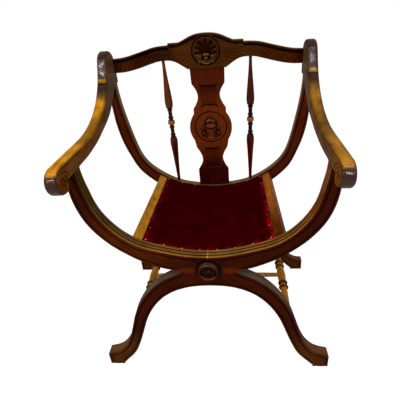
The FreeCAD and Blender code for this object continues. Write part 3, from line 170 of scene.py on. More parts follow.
# %% A finish being mixed
class Finish:
    """A material with one Principled shader, and what its patterns start from."""

    def __init__(self, name):
        self.material = bpy.data.materials.new(name)
        self.material.use_nodes = True
        self.tree = self.material.node_tree
        self.shader = self.tree.nodes["Principled BSDF"]
        self.place = self.wire("ShaderNodeTexCoord", {}, {}, "Object")
        self.x, self.y, self.z = self.parts(self.place)
        self.nx, self.ny, self.nz = self.parts(self.wire("ShaderNodeNewGeometry", {}, {},
                                                         "Normal"))

    def node(self, kind, settings, values):
        made = self.tree.nodes.new(kind)
        for name, value in settings.items():
            setattr(made, name, value)
        for name, value in values.items():
            self.feed(made.inputs[name], value)
        return made

    def feed(self, socket, value):
        if isinstance(value, Wire):
            self.tree.links.new(value.socket, socket)
        else:
            socket.default_value = value

    def wire(self, kind, settings, values, output=0):
        return Wire(self, self.node(kind, settings, values).outputs[output])

    def parts(self, wire):
        split = self.node("ShaderNodeSeparateXYZ", {}, {"Vector": wire})
        return [Wire(self, socket) for socket in split.outputs]

    def point(self, x, y, z):
        return self.wire("ShaderNodeCombineXYZ", {}, {"X": x, "Y": y, "Z": z})

    def noise(self, where, scale=1.0, detail=2.0, roughness=0.5):
        return self.wire("ShaderNodeTexNoise", {}, {"Vector": where, "Scale": scale,
                                                    "Detail": detail, "Roughness": roughness})

    def mix(self, share, a, b):
        """Colour a where the share is 0, colour b where it is 1."""
        made = self.node("ShaderNodeMix", {"data_type": "RGBA"}, {0: share, 6: a, 7: b})
        return Wire(self, made.outputs[2])

    def dim(self, paint, level):
        return self.wire("ShaderNodeVectorMath", {"operation": "SCALE"},
                         {"Vector": paint, "Scale": level})

    def relief(self, height):
        """The normal of a surface raised by a height in metres."""
        return self.wire("ShaderNodeBump", {}, {"Height": height, "Distance": 1.0,
                                                "Strength": 1.0}, "Normal")

    def surface(self, **values):
        for name, value in values.items():
            self.feed(self.shader.inputs[name.replace("_", " ")], value)
        return self.material


def stain(red, green, blue):
    """A colour given as on a paint card, 0 to 255."""
    shares = [value / 255 for value in (red, green, blue)]
    return (*[s / 12.92 if s < 0.04 else ((s + 0.055) / 1.055) ** 2.4 for s in shares], 1.0)


print("a mid brown is", [round(v, 3) for v in stain(92, 59, 37)])


# %% Masks put together
halves_blend = 100 * mm


def any_of(masks):
    """1 where any of the masks is 1."""
    return reduce(Wire.most, masks)


def from_centre(finish, centre):
    """The distance from a line that runs through a centre towards the viewer."""
    return (finish.x ** 2.0 + (finish.z - centre.z) ** 2.0) ** 0.5


def left_to_right(finish):
    """0 on the left half of the chair, 1 on the right."""
    return finish.x.step(-halves_blend, halves_blend)


# %% [markdown]
# ## Stained and varnished beech
# The frame is beech, stained to walnut. Fronts are dark and dull. What faces up has been
# rubbed by hands and light to amber, which partly stands for painted light from above, and
# there the varnish is thick. Over that lie fine fibres that run along the board, dark
# flecks, which are the rays of beech, and a broad cloudiness where the stain soaked in
# unevenly. A painted picture would stretch or show seams, so all of it is worked out from
# the place and the direction of the surface.

# %% The run of the fibres
along_grain, across_grain, other_half_shift = 40, 650, 5
fibre_height = 0.06 * mm


def fibres(finish, lean):
    """A place measured along and across the fibres. A lean is an angle in the X frame's
    plane, mirrored from left to right, and None runs from front to back."""
    x, y, z = finish.x, finish.y, finish.z
    if lean is None:
        return finish.point(x * across_grain, y * along_grain, z * across_grain)
    other_half = x.step(-mm, mm) * other_half_shift
    c, s = math.cos(lean * degree), math.sin(lean * degree)
    run = abs(x) * c + z * s
    rise = z * c - abs(x) * s
    return finish.point(run * along_grain + other_half, y * across_grain, rise * across_grain)


# %% Wood, with its wear
def wood(name, heart, worn_and_lit, lean, wear_and_light, cloud=0.5, sheen=0.2, dull=0.01, level=None,
         shape=None, fleck=0.35, gloss=None):
    """heart: colour of the stain, worn_and_lit: colour where it is scuffed and where painted
    light falls, wear_and_light: how much.
    """
    finish = Finish(name)
    run = fibres(finish, lean)
    fibre = finish.noise(run, 1.0, 3.0, 0.6)
    rays = finish.noise(run, 0.6, 1.0)
    soak = finish.noise(run, 0.07, 2.0)
    blotch = finish.noise(finish.place, 24.0, 3.0)
    rubbed_and_lit = wear_and_light(finish)
    patchy = (rubbed_and_lit + (blotch - 0.5) * 0.5 * rubbed_and_lit).least(1.0)
    paint = finish.mix(patchy, heart(finish) if callable(heart) else heart,
                       worn_and_lit(finish) if callable(worn_and_lit) else worn_and_lit)
    shade = 1 + (soak - 0.5) * 1.6 * cloud + (blotch - 0.5) * 1.4 * cloud \
        + (fibre - 0.5) * 1.3
    shade = shade * (1 - rays.step(0.58, 0.70) * fleck)
    if level:
        shade = shade * level(finish)
    height = (fibre - 0.5) * fibre_height
    if shape:
        height = height + shape(finish)
    return finish.surface(
        Base_Color=finish.dim(paint, shade.most(0.04)),
        Roughness=0.52 - rubbed_and_lit * 0.12 + (fibre - 0.5) * 0.2,
        Specular_IOR_Level=0.0,
        Coat_Weight=gloss(finish) if gloss else dull + rubbed_and_lit * (sheen - dull),
        Coat_Roughness=0.09, Normal=finish.relief(height))


def give(piece, material):
    piece.data.materials.clear()
    piece.data.materials.append(material)


def dress(material, *names):
    for name in names:
        give(nodes[name], material)
    print(material.name, "on", ", ".join(names))


def pair(*names):
    return [name + side for name in names for side in ("_left", "_right")]


# %% [markdown]
# ## Dark cuts
# The floor of every cut is nearly black. A floor is found by its depth under the face and
# by facing straight forward, which needs no picture and follows each curve of the CAD.

# %% Sunk floors
cut_depth = 1.6 * mm
wall_depth, wall_half = 1.1 * mm, 0.4 * mm
cut_zone = 0.9 * mm
boss_surround_radius, boss_surround_half = 31.5 * mm, 1.5 * mm


def sunk(finish, face, depth, slack=0.35 * mm):
    """1 on a floor that lies this deep under a front face."""
    return finish.y.band(face + depth, slack, 0.1 * mm) * (-finish.ny).step(0.80, 0.95)


def cut_walls(finish, face):
    """1 on the walls of a shallow cut in a front face."""
    return finish.y.band(face + wall_depth, wall_half, 0.3 * mm) \
        * abs(finish.ny).fall(0.3, 0.7)


def boss_surround(finish):
    """1 in a ring round the boss, on the front frame."""
    out = from_centre(finish, boss_centre)
    return out.band(boss_surround_radius, boss_surround_half, boss_surround_half) \
        * finish.y.fall(front_back, rear_face)


def lines(finish, face):
    """How much darker the sunk lines of a face are."""
    return 1 - (sunk(finish, face, cut_depth) * 0.93).most(cut_walls(finish, face) * 0.85)


def beyond_cuts(finish, face):
    """0 just under a face, where the cuts are, and 1 elsewhere."""
    return 1 - finish.y.band(face + cut_zone, cut_zone, 0.3 * mm)


def frontwards(finish):
    return (-finish.ny).step(0.35, 0.75)


def not_behind(finish):
    return finish.ny.fall(0.3, 0.7)


def rubbed_lit_edges(finish):
    """1 on the rounded edge of a front face, drawn lighter where the stain is scuffed through
    and as a painted highlight.
    """
    return (-finish.ny).band(0.75, 0.13, 0.1)


# Tops take the worn colour: partly wear, partly painted light and highlight from above.
def top_worn_and_lit(finish):
    return finish.nz.step(0.3, 0.7)


# %% [markdown]
# ## The X frames
# Two sunk lines follow the edges of each hoop and leg. The hoop's inner face is gold,
# partly rubbed by the sitter and partly painted light and reflection, in front over three
# reeds with dark gaps. The crossing is glued up from two halves, and the glue line shows as
# a pale thread above and below the boss. The rounded edges and the two crotches carry
# painted highlights, and the leg tops near the crossing a painted grey reflection.

# %% Hoops
reed_gap = 2.8 * mm
front_thickness = front_back - front_face
glue_half, glue_start = 0.7 * mm, (340 * mm, 360 * mm)
# Where the painted highlights at the crotches lie.
glint_reach, glint_half_length, glint_soft_length = 60 * mm, 14 * mm, 22 * mm
glint_height, glint_half_height, glint_soft_height = 388 * mm, 4 * mm, 11 * mm
bleached_reach, arm_shade_height = (-220 * mm, -50 * mm), (460 * mm, 600 * mm)
reed_gold_height, edge_highlight_height = (420 * mm, 550 * mm), (480 * mm, 620 * mm)
edge_highlight_depth = (3 * mm, 6 * mm)


def inner_side(face):
    """1 on the side of a hoop that faces its middle, below the cuts of its face."""
    def side(finish):
        inwards = finish.nz.most(-(finish.nx * finish.x.sign()))
        return inwards.step(0.15, 0.6) * abs(finish.ny).fall(0.5, 0.85) \
            * beyond_cuts(finish, face)
    return side


def glue_line(finish):
    return finish.x.band(0, glue_half, 0.5 * mm) * finish.z.step(*glue_start)


def crotch_glints(finish):
    """Painted highlights at the two crotches, along the hoop's lower edge."""
    return abs(finish.x).band(glint_reach, glint_half_length, glint_soft_length) \
        * finish.z.band(glint_height, glint_half_height, glint_soft_height) \
        * frontwards(finish)


def crossing_marks(finish):
    """A darker ring round the boss, the rounded edge lighter where scuffed and as painted
    highlight, the glue line, and painted highlights at the crotches.
    """
    return (1 - boss_surround(finish) * 0.75) * (1 + rubbed_lit_edges(finish) * 0.5) \
        * (1 + glue_line(finish) * 2.5 + crotch_glints(finish) * 1.3)


def front_hoop_cuts(finish):
    gaps = any_of(finish.y.band(front_face + front_thickness * share, reed_gap / 2, 0.6 * mm)
                  for share in (1 / 3, 2 / 3))
    return (1 - gaps * inner_side(front_face)(finish) * 0.92) * lines(finish, front_face) \
        * crossing_marks(finish)


def rear_cuts(finish):
    return lines(finish, rear_face) * (1 + rubbed_lit_edges(finish) * 0.3)


def hoop_stain(finish):
    """Lighter on the lower left, faded by light; higher up, under the arm rest, the dark
    stain is painted shade.
    """
    bleached_below_shade = finish.x.fall(*bleached_reach) * finish.z.fall(*arm_shade_height)
    return finish.mix(bleached_below_shade, stain(54, 16, 4), stain(80, 33, 6))


def hoop_gold(finish):
    """Olive on the left and orange on the right, partly painted reflection, and a painted
    highlight along the front edge.
    """
    sides = finish.mix(left_to_right(finish), stain(92, 64, 24), stain(140, 76, 20))
    reeds = finish.mix(finish.z.fall(*reed_gold_height), sides, stain(118, 82, 34))
    edge_highlight = (finish.y - front_face).fall(*edge_highlight_depth)
    return finish.mix(edge_highlight * finish.z.fall(*edge_highlight_height), reeds,
                      stain(166, 110, 26))


# The inner faces take the gold: partly rubbed, partly painted light.
front_hoop_wood = wood("front hoop, walnut stain", hoop_stain, hoop_gold, 45,
                       inner_side(front_face), level=front_hoop_cuts, sheen=0.1)
# The rear hoops' inner faces take a grey olive: partly rubbed, partly painted reflection.
rear_hoop_wood = wood("rear hoop, walnut stain", stain(74, 26, 6), stain(112, 90, 54), 50,
                      inner_side(rear_face), level=rear_cuts, sheen=0.1)
dress(front_hoop_wood, *pair("front_hoop"))
dress(rear_hoop_wood, *pair("rear_hoop"))


# %% Legs
leg_top_reach, scuffed_height = (120 * mm, 260 * mm), (50 * mm, 180 * mm)


def leg_tops(finish):
    return finish.nz.step(0.15, 0.6) * abs(finish.ny).fall(0.5, 0.85) \
        * beyond_cuts(finish, front_face) * beyond_cuts(finish, rear_face)


def leg_top_colour(finish):
    """Greenish grey near the crossing, a painted reflection, and brown further out."""
    return finish.mix(abs(finish.x).step(*leg_top_reach), stain(84, 72, 56),
                      stain(98, 64, 32))


def leg_stain(finish):
    """The feet are scuffed lighter."""
    return finish.mix(finish.z.fall(*scuffed_height), stain(60, 19, 4), stain(80, 41, 11))


def leg_cuts(finish):
    return lines(finish, front_face) * lines(finish, rear_face) * crossing_marks(finish)


leg_wood = wood("legs, walnut stain", leg_stain, leg_top_colour, -52, leg_tops,
                level=leg_cuts, sheen=0.06)
dress(leg_wood, *pair("front_leg", "rear_leg"))

# %% [markdown]
# ## Arm rests
# The arm rests are the most worn part: their tops are amber up to where the scroll turns
# over in front and the finial stands up behind, partly from wear and partly as painted
# light from above. Those two stay dark and shine, with a painted highlight on the collar's
# ledge and painted shade under it. The face of the wood is a little crowned from side to
# side, so it mirrors a window as a narrow streak. A bump gives that crown, because it is
# too slight to show in the outline.

# %% Arms
arm_rear_centre = 309 * mm
arm_turn = 17 / 390
scroll_radius, scroll_height = 31.5 * mm, 695 * mm
scroll_centre = (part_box("arm_left")[0].y + scroll_radius, scroll_height)
spiral_radius, spiral_step, spiral_half_line = 18 * mm, 8.6 * mm, 1.0 * mm
collar_height, collar_half = 824 * mm, 4 * mm
collar_shadow = 8 * mm
amber_end, scroll_turn = (760 * mm, 806 * mm), (-180 * mm, -50 * mm)
side_change = (0.0, 150 * mm)
crown_flat = 8 * mm
handled_place, handled_half, handled_soft = -30 * mm, 45 * mm, 60 * mm


def from_arm_middle(finish):
    return abs(finish.x) - arm_rear_centre + (rear_middle - finish.y) * arm_turn


# The collar's ledge: a painted highlight.
def collar_highlight(finish):
    return finish.z.band(collar_height, collar_half, 2 * mm) \
        * abs(finish.nx).fall(0.5, 0.8) * not_behind(finish)


def arm_wear_and_light(finish):
    """Amber on top, between the turn of the scroll and the foot of the finial: partly scuffed,
    partly painted light from above, with the collar's painted highlight.
    """
    tilt = finish.nz - finish.y.fall(*scroll_turn) * 0.30
    top = tilt.step(0.26, 0.52) * finish.z.fall(*amber_end)
    return top.most(collar_highlight(finish) * 0.7)


def arm_stain(finish):
    """Dark on the scroll and finial, golden brown to grey brown along the sides; the grey
    brown partly stands for painted reflection.
    """
    sides = finish.mix(finish.y.step(*side_change), stain(112, 62, 14), stain(100, 70, 42))
    return finish.mix(abs(finish.nx).step(0.6, 0.9), stain(56, 23, 6), sides)


def spiral_line(finish):
    """Darker in the line that winds in on both sides of the scroll."""
    along, rise = finish.y - scroll_centre[0], finish.z - scroll_centre[1]
    out = (along ** 2.0 + rise ** 2.0) ** 0.5
    angle = rise.reckon("ARCTAN2", rise, along)
    turn = angle.reckon("FRACT", angle / (2 * math.pi))
    laps = any_of((out + (turn + lap) * spiral_step).band(spiral_radius, spiral_half_line,
                                                         0.5 * mm) for lap in (0, 1))
    return laps * abs(finish.nx).step(0.6, 0.9)


def arm_level(finish):
    """Dark in the spiral, painted shade under the collar, and darker where hands soil
    the top.
    """
    collar_shade = finish.z.band(collar_height - collar_shadow, 1.5 * mm, 1.5 * mm) \
        * frontwards(finish)
    handled = finish.y.band(handled_place, handled_half, handled_soft) \
        * finish.nz.step(0.1, 0.4)
    return (1 - spiral_line(finish) * 0.95) * (1 - collar_shade * 0.6) * (1 - handled * 0.5)


def arm_crown(finish):
    """Crowned across, and rounded over towards the two edges."""
    across = from_arm_middle(finish)
    edge = (abs(across) - crown_flat).most(0.0)
    return across * across * -14.0 - edge * edge * 50.0


# Amber tops; the paler amber on the right partly stands for painted sheen.
def arm_amber(finish):
    return finish.mix(left_to_right(finish), stain(196, 130, 22), stain(154, 104, 30))


def arm_gloss(finish):
    """Thick varnish is left where nobody rubs: on scroll and finial."""
    return 0.06 + abs(finish.nx).fall(0.5, 0.8) * (1 - arm_wear_and_light(finish)) * 0.30


arm_wood = wood("arm rests, worn", arm_stain, arm_amber, None, arm_wear_and_light, cloud=0.95,
                level=arm_level, shape=arm_crown, fleck=0.6, gloss=arm_gloss)
dress(arm_wood, *pair("arm"))

# %% [markdown]
# ## Crest rail
# The crest rail is flat sawn: its growth rings show as arches over the shell. A ring is
# a line of equal distance from the tree's heart, so the figure is the wave of a
# distance, pushed about by a slow noise. Two grooves under the top edge are black, in a
# band of painted shade, and the ends by the finials are darkened as painted shade.

# %% Faces and points of a node
down = Vector((0, 0, -1))


def node_shape(name):
    shape = bmesh.new()
    shape.from_mesh(nodes[name].data)
    return shape


def search_tree(name):
    """A search tree over a node's faces."""
    shape = node_shape(name)
    tree = BVHTree.FromBMesh(shape)
    shape.free()
    return tree


# %% The crest's top edge
edge_stations = 24
overhead = 2


def top_edge(name, half):
    """Heights of a piece's top at even steps from its middle to its end."""
    tree = search_tree(name)
    stations = [half * (number + 0.5) / edge_stations for number in range(edge_stations)]
    hits = [tree.ray_cast(Vector((x, rear_middle, overhead)), down) for x in stations]
    return [(x / half, hit[0].z) for x, hit in zip(stations, hits)]


def from_top_edge(finish, half, table):
    """How far below that edge a place lies, looked up in the table."""
    low, high = min(z for x, z in table), max(z for x, z in table)
    made = finish.node("ShaderNodeFloatCurve", {}, {"Value": abs(finish.x) / half})
    curve = made.mapping.curves[0]
    curve.points[0].location = (0, (table[0][1] - low) / (high - low))
    curve.points[1].location = (1, (table[-1][1] - low) / (high - low))
    for share, z in table:
        curve.points.new(share, (z - low) / (high - low))
    for point in curve.points:
        point.handle_type = "VECTOR"
    made.mapping.update()
    return low + Wire(finish, made.outputs[0]) * (high - low) - finish.z


crest_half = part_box("crest_rail")[1].x
crest_table = top_edge("crest_rail", crest_half)
print("crest top from", round(crest_table[0][1], 4), "down to", round(crest_table[-1][1], 4))

# %% Crest
ring_pitch = 9 * mm
tree_heart = (45 * mm, 800 * mm)
shell_rim, shell_ring, shell_line = 34.5 * mm, 42.5 * mm, 1.7 * mm
groove_middle, groove_half = 7.6 * mm, 2.6 * mm
cloud_place, cloud_half, cloud_soft = -170 * mm, 50 * mm, 40 * mm
# The ends by the finials are darkened as painted shade.
end_shade_reach, crest_reddens = (32 * mm, 6 * mm), (80 * mm, 240 * mm)
dish_floor, flute_depth = (9 * mm, 10 * mm), (0.4 * mm, 1.6 * mm)
groove_depth, groove_slack, groove_start = 2.0 * mm, 0.5 * mm, (3.5 * mm, 4.5 * mm)
groove_wall_depth, groove_wall_half = 1.1 * mm, 0.8 * mm


def growth_rings(finish):
    warp = finish.noise(finish.place, 7.0, 2.0)
    reach = (((finish.x - tree_heart[0]) * 0.6) ** 2.0
             + (finish.z - tree_heart[1]) ** 2.0) ** 0.5
    rings = (reach * (2 * math.pi / ring_pitch) + warp * 13).wave().step(0.60, 1.0)
    outside = from_centre(finish, shell_centre).step(shell_ring, shell_ring + 4 * mm)
    return 1 + rings * 0.65 * frontwards(finish) * outside


def crest_level(finish):
    """Growth rings, black grooves in a band of painted shade, a dark dish and ring, and
    ends darkened as painted shade.
    """
    out = from_centre(finish, shell_centre)
    depth = finish.y - crest_face
    walls = depth.band(groove_wall_depth, groove_wall_half, 0.2 * mm) \
        * abs(finish.ny).fall(0.1, 0.3)
    below = from_top_edge(finish, crest_half, crest_table)
    shadow = below.band(groove_middle, groove_half, 0.8 * mm) * frontwards(finish) * 0.9
    floors = sunk(finish, crest_face, groove_depth, groove_slack)
    grooves = any_of([floors, walls, shadow]) * (out - shell_ring).step(*groove_start)
    dish = out.fall(shell_rim, shell_rim + 2 * mm) * depth.fall(*dish_floor)
    flutes = depth.step(*flute_depth)
    ring = out.band(shell_ring, shell_line, 0.7 * mm) * not_behind(finish)
    cloud = finish.x.band(cloud_place, cloud_half, cloud_soft)
    ends = abs(finish.x).step(*[crest_half - reach for reach in end_shade_reach])
    return growth_rings(finish) * (1 - grooves * 0.93) * (1 - dish * 0.35) \
        * (1 - dish * flutes * 0.65) * (1 - ring * 0.93) * (1 - ends * 0.3) \
        * (1 - cloud * 0.4)


def crest_stain(finish):
    """Olive brown over the middle, red brown at the two ends and inside the shell."""
    board = finish.mix(abs(finish.x).step(*crest_reddens), stain(60, 30, 6),
                       stain(62, 24, 4))
    inside = from_centre(finish, shell_centre).fall(shell_rim, shell_ring)
    return finish.mix(inside, board, stain(70, 28, 10))


crest_wood = wood("crest rail, flat sawn", crest_stain, stain(150, 98, 40), 0, top_worn_and_lit,
                  level=crest_level, sheen=0.15)
dress(crest_wood, "crest_rail")

# %% [markdown]
# ## Splat and spindles
# The splat is redder than the rest and darkens towards the seat. Its two panels are
# combed with fine lines. Spindles come off the lathe with black grooves, and their
# middle balls are rubbed to gold.


# %% Splat
panels = ((706 * mm, 780 * mm), (482 * mm, 562 * mm))
panel_half_width = 26 * mm
panel_depth, comb_depth = 1.6 * mm, 2.4 * mm
panel_end_rise, panel_end_half = 5 * mm, 1.8 * mm
medallion_ring, medallion_line = 53.2 * mm, 1.6 * mm
loop_centre, loop_radius, loop_stretch = (25 * mm, -21 * mm), 6 * mm, 1.7
loop_outline_half = 1.8 * mm
foot_half, belly_swell = 13 * mm, 5 * mm
belly_rise, lid_rise = (-30 * mm, 2 * mm), (16 * mm, 36 * mm)
outline_rise, outline_half_height = -3 * mm, 37 * mm
outline_place, outline_half = 2.2 * mm, 1.8 * mm
shade_reach, shade_clear = (4 * mm, 8 * mm), 6 * mm
bulge_rise, bulge = (-16 * mm, 44 * mm), 4 * mm
splat_darkens, splat_reddens = (700 * mm, 770 * mm), (460 * mm, 580 * mm)


def splat_stain(finish):
    upper = finish.mix(finish.z.step(*splat_darkens), stain(96, 37, 8), stain(70, 23, 5))
    return finish.mix(finish.z.step(*splat_reddens), stain(52, 7, 3), upper)


def panel_end_shade(finish):
    """1 along the curved ends of both panels, where the comb stopped, as painted shade
    under the sunk ends.
    """
    bow = (1 - (finish.x / panel_half_width) ** 2.0) * panel_end_rise
    ends = any_of(end.band(panel_end_half, panel_end_half, 1.4 * mm) for low, high in panels
                  for end in (finish.z - low - bow, high - finish.z - bow))
    reach = panel_half_width + (finish.z - urn_height).step(*bulge_rise) * bulge
    return ends * (abs(finish.x) - reach).fall(-2 * mm, 2 * mm)


def panel_shade(finish):
    """Darker in the comb's lines towards both ends of a panel."""
    near, far = shade_reach
    shade = any_of(
        finish.z.step(low, low + far) * finish.z.fall(high - near, high + near)
        * (1 - finish.z.band((low + high) / 2, shade_clear, (high - low) / 2 - shade_clear))
        for low, high in panels)
    return shade * abs(finish.x).fall(panel_half_width - 3 * mm, panel_half_width)


def urn_outline_dark(finish):
    """Darker ground close to the urn and its hanging loops."""
    rise = finish.z - urn_height
    half = foot_half + rise.step(*belly_rise) * belly_swell - rise.step(*lid_rise) * foot_half
    beside = (abs(finish.x) - half).band(outline_place, outline_half, 2 * mm) \
        * rise.band(outline_rise, outline_half_height, 4 * mm)
    loop = ((abs(finish.x) - loop_centre[0]) ** 2.0
            + ((rise - loop_centre[1]) / loop_stretch) ** 2.0) ** 0.5
    return beside.most(loop.band(loop_radius, loop_outline_half, 1.4 * mm))


def splat_level(finish):
    """Dark in the medallion's ring, in the panels, at their ends as painted shade, and round
    the urn.
    """
    ring = from_centre(finish, urn_centre).band(medallion_ring, medallion_line, 0.7 * mm)
    combed = sunk(finish, splat_face, panel_depth, 0.15 * mm) * 0.15
    comb_lines = sunk(finish, splat_face, comb_depth, 0.2 * mm) * 0.6
    front = not_behind(finish)
    return (1 - ring * front * 0.92) * (1 - combed) * (1 - comb_lines) \
        * (1 - panel_end_shade(finish) * 0.92 * frontwards(finish)) \
        * (1 - panel_shade(finish) * 0.45 * front) \
        * (1 - urn_outline_dark(finish) * 0.85 * front) * (1 + rubbed_lit_edges(finish) * 0.4)


splat_wood = wood("splat, walnut stain", splat_stain, stain(140, 80, 30), 90, top_worn_and_lit,
                  level=splat_level, cloud=0.35, dull=0.02, fleck=0.2)
dress(splat_wood, "splat")

# %% Spindles
pin_length = 14 * mm
spindle_low, spindle_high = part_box("spindle_left")
spindle_foot = spindle_low.z + pin_length
spindle_span = spindle_high.z - pin_length - spindle_foot
ball_share, ball_half_share = 0.525, 0.014
turned_half_share, soft_share = 0.125, 0.006


def spindle_share(finish):
    return (finish.z - spindle_foot) / spindle_span


def spindle_stain(finish):
    light = finish.mix(left_to_right(finish), stain(84, 40, 12), stain(62, 24, 6))
    return finish.mix(spindle_share(finish).step(0.30, 0.45), stain(70, 10, 4), light)


def middle_ball(finish):
    return spindle_share(finish).band(ball_share, ball_half_share, soft_share)


def spindle_level(finish):
    turned = spindle_share(finish).band(ball_share, turned_half_share, soft_share)
    return 1 - turned * (1 - middle_ball(finish)) * 0.7


spindle_wood = wood("spindles, turned", spindle_stain, stain(136, 78, 26), 90,
                    middle_ball, level=spindle_level, sheen=0.25, dull=0.10)
dress(spindle_wood, *pair("spindle"))

# %% [markdown]
# ## Stretchers, seat rails, board and dowels
# The turned stretchers are lighter, with black rings. The seat rails are rubbed to gold
# like the arms. Both keep the dark stain on their undersides as painted shade. The board
# and the dowels, which nobody sees, are bare beech.

# %% Remaining wood
ring_distances = (36 * mm, 54 * mm)
ring_half_length, ring_half_line = 3 * mm, 1.6 * mm
stretcher_middle = (front_back + rear_face) / 2
rail_dark_end = (-110 * mm, 60 * mm)


def stretcher_level(finish):
    away = abs(finish.y - stretcher_middle)
    rings = any_of(away.band(distance + side * ring_half_length, ring_half_line, 0.8 * mm)
                   for distance in ring_distances for side in (-1, 1))
    return 1 - rings * 0.85


# The worn colour everywhere but on the underside, which keeps the dark stain as painted shade.
def lit_except_underside(finish):
    return finish.nz.step(-0.6, 0.5)


def rail_stain(finish):
    right = finish.mix(finish.y.fall(*rail_dark_end), stain(150, 82, 14), stain(96, 42, 8))
    return finish.mix(left_to_right(finish), stain(176, 118, 30), right)


stretcher_wood = wood("stretchers, turned", stain(92, 48, 12), stain(172, 108, 34), None,
                      lit_except_underside, level=stretcher_level, cloud=0.9, sheen=0.1)
rail_wood = wood("seat rails, worn", stain(96, 54, 16), rail_stain, None, lit_except_underside,
                 cloud=0.8, fleck=0.6, sheen=0.08)
bare_wood = wood("bare beech", stain(176, 138, 94), stain(184, 146, 100), None, lit_except_underside,
                 sheen=0.02, dull=0.02)
dress(stretcher_wood, *pair("side_stretcher"), "cross_stretcher")
dress(rail_wood, *pair("seat_rail"))
dress(bare_wood, "seat_board", *[name for name in nodes if name.endswith("dowels")])

# %% [markdown]
# ## The velvet
# The cover is one piece of cut-pile velvet over a thin layer of wadding, drawn down by
# tacks all round. A flat panel would look like card. So a fine grid is laid over the
# CAD pad, as a shop lays the cloth, and given the pad's thickness. Cloth simulation then
# blows it up from inside while the rim and the tacks hold it down, which raises the
# middle and gathers the edges.


# %% The pad's own surface
pad_tree = search_tree("seat_pad")
hole_reach = 4.5 * mm
hole_depth = 0.4 * mm
drop_height = seat_high.z + 100 * mm


def drop(x, y):
    hit = pad_tree.ray_cast(Vector((x, y, drop_height)), down)
    return hit[0].z if hit[0] else None


def cover_height(x, y):
    """Height of the pad's top, with its tack holes bridged over."""
    here = drop(x, y)
    bridges = []
    for dx, dy in ((hole_reach, 0), (0, hole_reach)):
        ends = [drop(x + dx, y + dy), drop(x - dx, y - dy)]
        if None not in ends:
            bridges.append(sum(ends) / 2)
    if bridges and (here is None or here < min(bridges) - hole_depth):
        return max(bridges)
    return here


# %% Where the tacks are
def tack_places():
    """The middle of each tack head, from the loose islands of the CAD's group."""
    shape = node_shape("seat_tacks")
    bmesh.ops.remove_doubles(shape, verts=shape.verts, dist=0.01 * mm)
    left, found = set(shape.verts), []
    for first in shape.verts:
        if first not in left:
            continue
        left.remove(first)
        stack, island = [first], []
        while stack:
            vertex = stack.pop()
            island.append(vertex.co.copy())
            for edge in vertex.link_edges:
                other = edge.other_vert(vertex)
                if other in left:
                    left.remove(other)
                    stack.append(other)
        top = max(point.z for point in island)
        middle = sum(island, Vector()) / len(island)
        found.append(Vector((middle.x, middle.y, top)))
    shape.free()
    return sorted(found, key=lambda p: (round(p.y, 3), round(p.x, 3)))


tacks = tack_places()
print(len(tacks), "tacks")


# %% A clear start for each new piece
def stand_alone():
    """Leave edit mode and let go of everything that is selected."""
    if bpy.context.object and bpy.context.object.mode != "OBJECT":
        bpy.ops.object.mode_set(mode="OBJECT")
    bpy.ops.object.select_all(action="DESELECT")


# %% A grid over the pad
cover_inset = 0.6 * mm
cover_cell = 4.2 * mm
cover_thickness = 2.6 * mm
wide = seat_high.x - seat_low.x - 2 * cover_inset
deep = seat_high.y - seat_low.y - 2 * cover_inset
seat_middle = (seat_low + seat_high) / 2

stand_alone()
bpy.ops.mesh.primitive_grid_add(x_subdivisions=round(wide / cover_cell),
                                y_subdivisions=round(deep / cover_cell), size=1,
                                location=(seat_middle.x, seat_middle.y, 0))
velvet = bpy.context.object
velvet.name = "velvet_seat"
velvet.scale = (wide, deep, 1)
bpy.ops.object.transform_apply(location=True, rotation=True, scale=True)
for vertex in velvet.data.vertices:
    vertex.co.z = cover_height(vertex.co.x, vertex.co.y)
thicken = velvet.modifiers.new("Thickness", "SOLIDIFY")
thicken.thickness = cover_thickness
thicken.offset = -1
bpy.ops.object.modifier_apply(modifier=thicken.name)
print("velvet grid", len(velvet.data.vertices), "vertices")

# %% [markdown]
# ## Stuffing it
# Vertices in a pin group don't move in the simulation: the underside, the rim and a
# small ring round each tack. The pressure works on the rest. After twenty steps the
# shape has settled, and no point may have moved by more than the wadding is thick.

# %% Pins and pressure
rim_width = 5 * mm
tack_hold = 5 * mm
rise_limit = 3.2 * mm


def from_edge(point):
    return min(wide / 2 - abs(point.x - seat_middle.x),
               deep / 2 - abs(point.y - seat_middle.y))


def from_tack(point):
    return min((point - tack).length for tack in tacks)


start = [v.co.copy() for v in velvet.data.vertices]
facing = [v.normal.z for v in velvet.data.vertices]
held = [i for i, point in enumerate(start)
        if facing[i] < 0.3 or from_edge(point) < rim_width or from_tack(point) < tack_hold]
pins = velvet.vertex_groups.new(name="held")
pins.add(held, 1.0, "REPLACE")
print(len(held), "held of", len(start))


# %% Simulate
last_frame = 20


def blow_up(piece, group):
    cloth = piece.modifiers.new("Cloth", "CLOTH")
    for name, value in dict(quality=6, mass=0.15, tension_stiffness=8,
                            compression_stiffness=4, shear_stiffness=3,
                            bending_stiffness=0.05, shrink_min=-0.03, use_pressure=True,
                            uniform_pressure_force=4, vertex_group_mass=group.name).items():
        setattr(cloth.settings, name, value)
    cloth.settings.effector_weights.gravity = 0
    cloth.point_cache.frame_start = 1
    cloth.point_cache.frame_end = last_frame
    for step in range(1, last_frame + 1):
        bpy.context.scene.frame_set(step)
    bpy.ops.object.modifier_apply(modifier=cloth.name)
    bpy.context.scene.frame_set(1)


blow_up(velvet, pins)
moved = []
for vertex, origin in zip(velvet.data.vertices, start):
    shift = vertex.co - origin
    if shift.length > rise_limit:
        shift *= rise_limit / shift.length
    vertex.co = origin + shift
    moved.append(shift.length)
print("velvet rose by up to", round(max(moved) / mm, 2), "mm, on average",
      round(sum(moved) / len(moved) / mm, 2))

# %% [markdown]
# ## Gathers
# Between two tacks the drawn-in edge puckers. The puckers run in from the edge and fade,
# and no two are alike. They are shallow, so the vertices are moved in code.

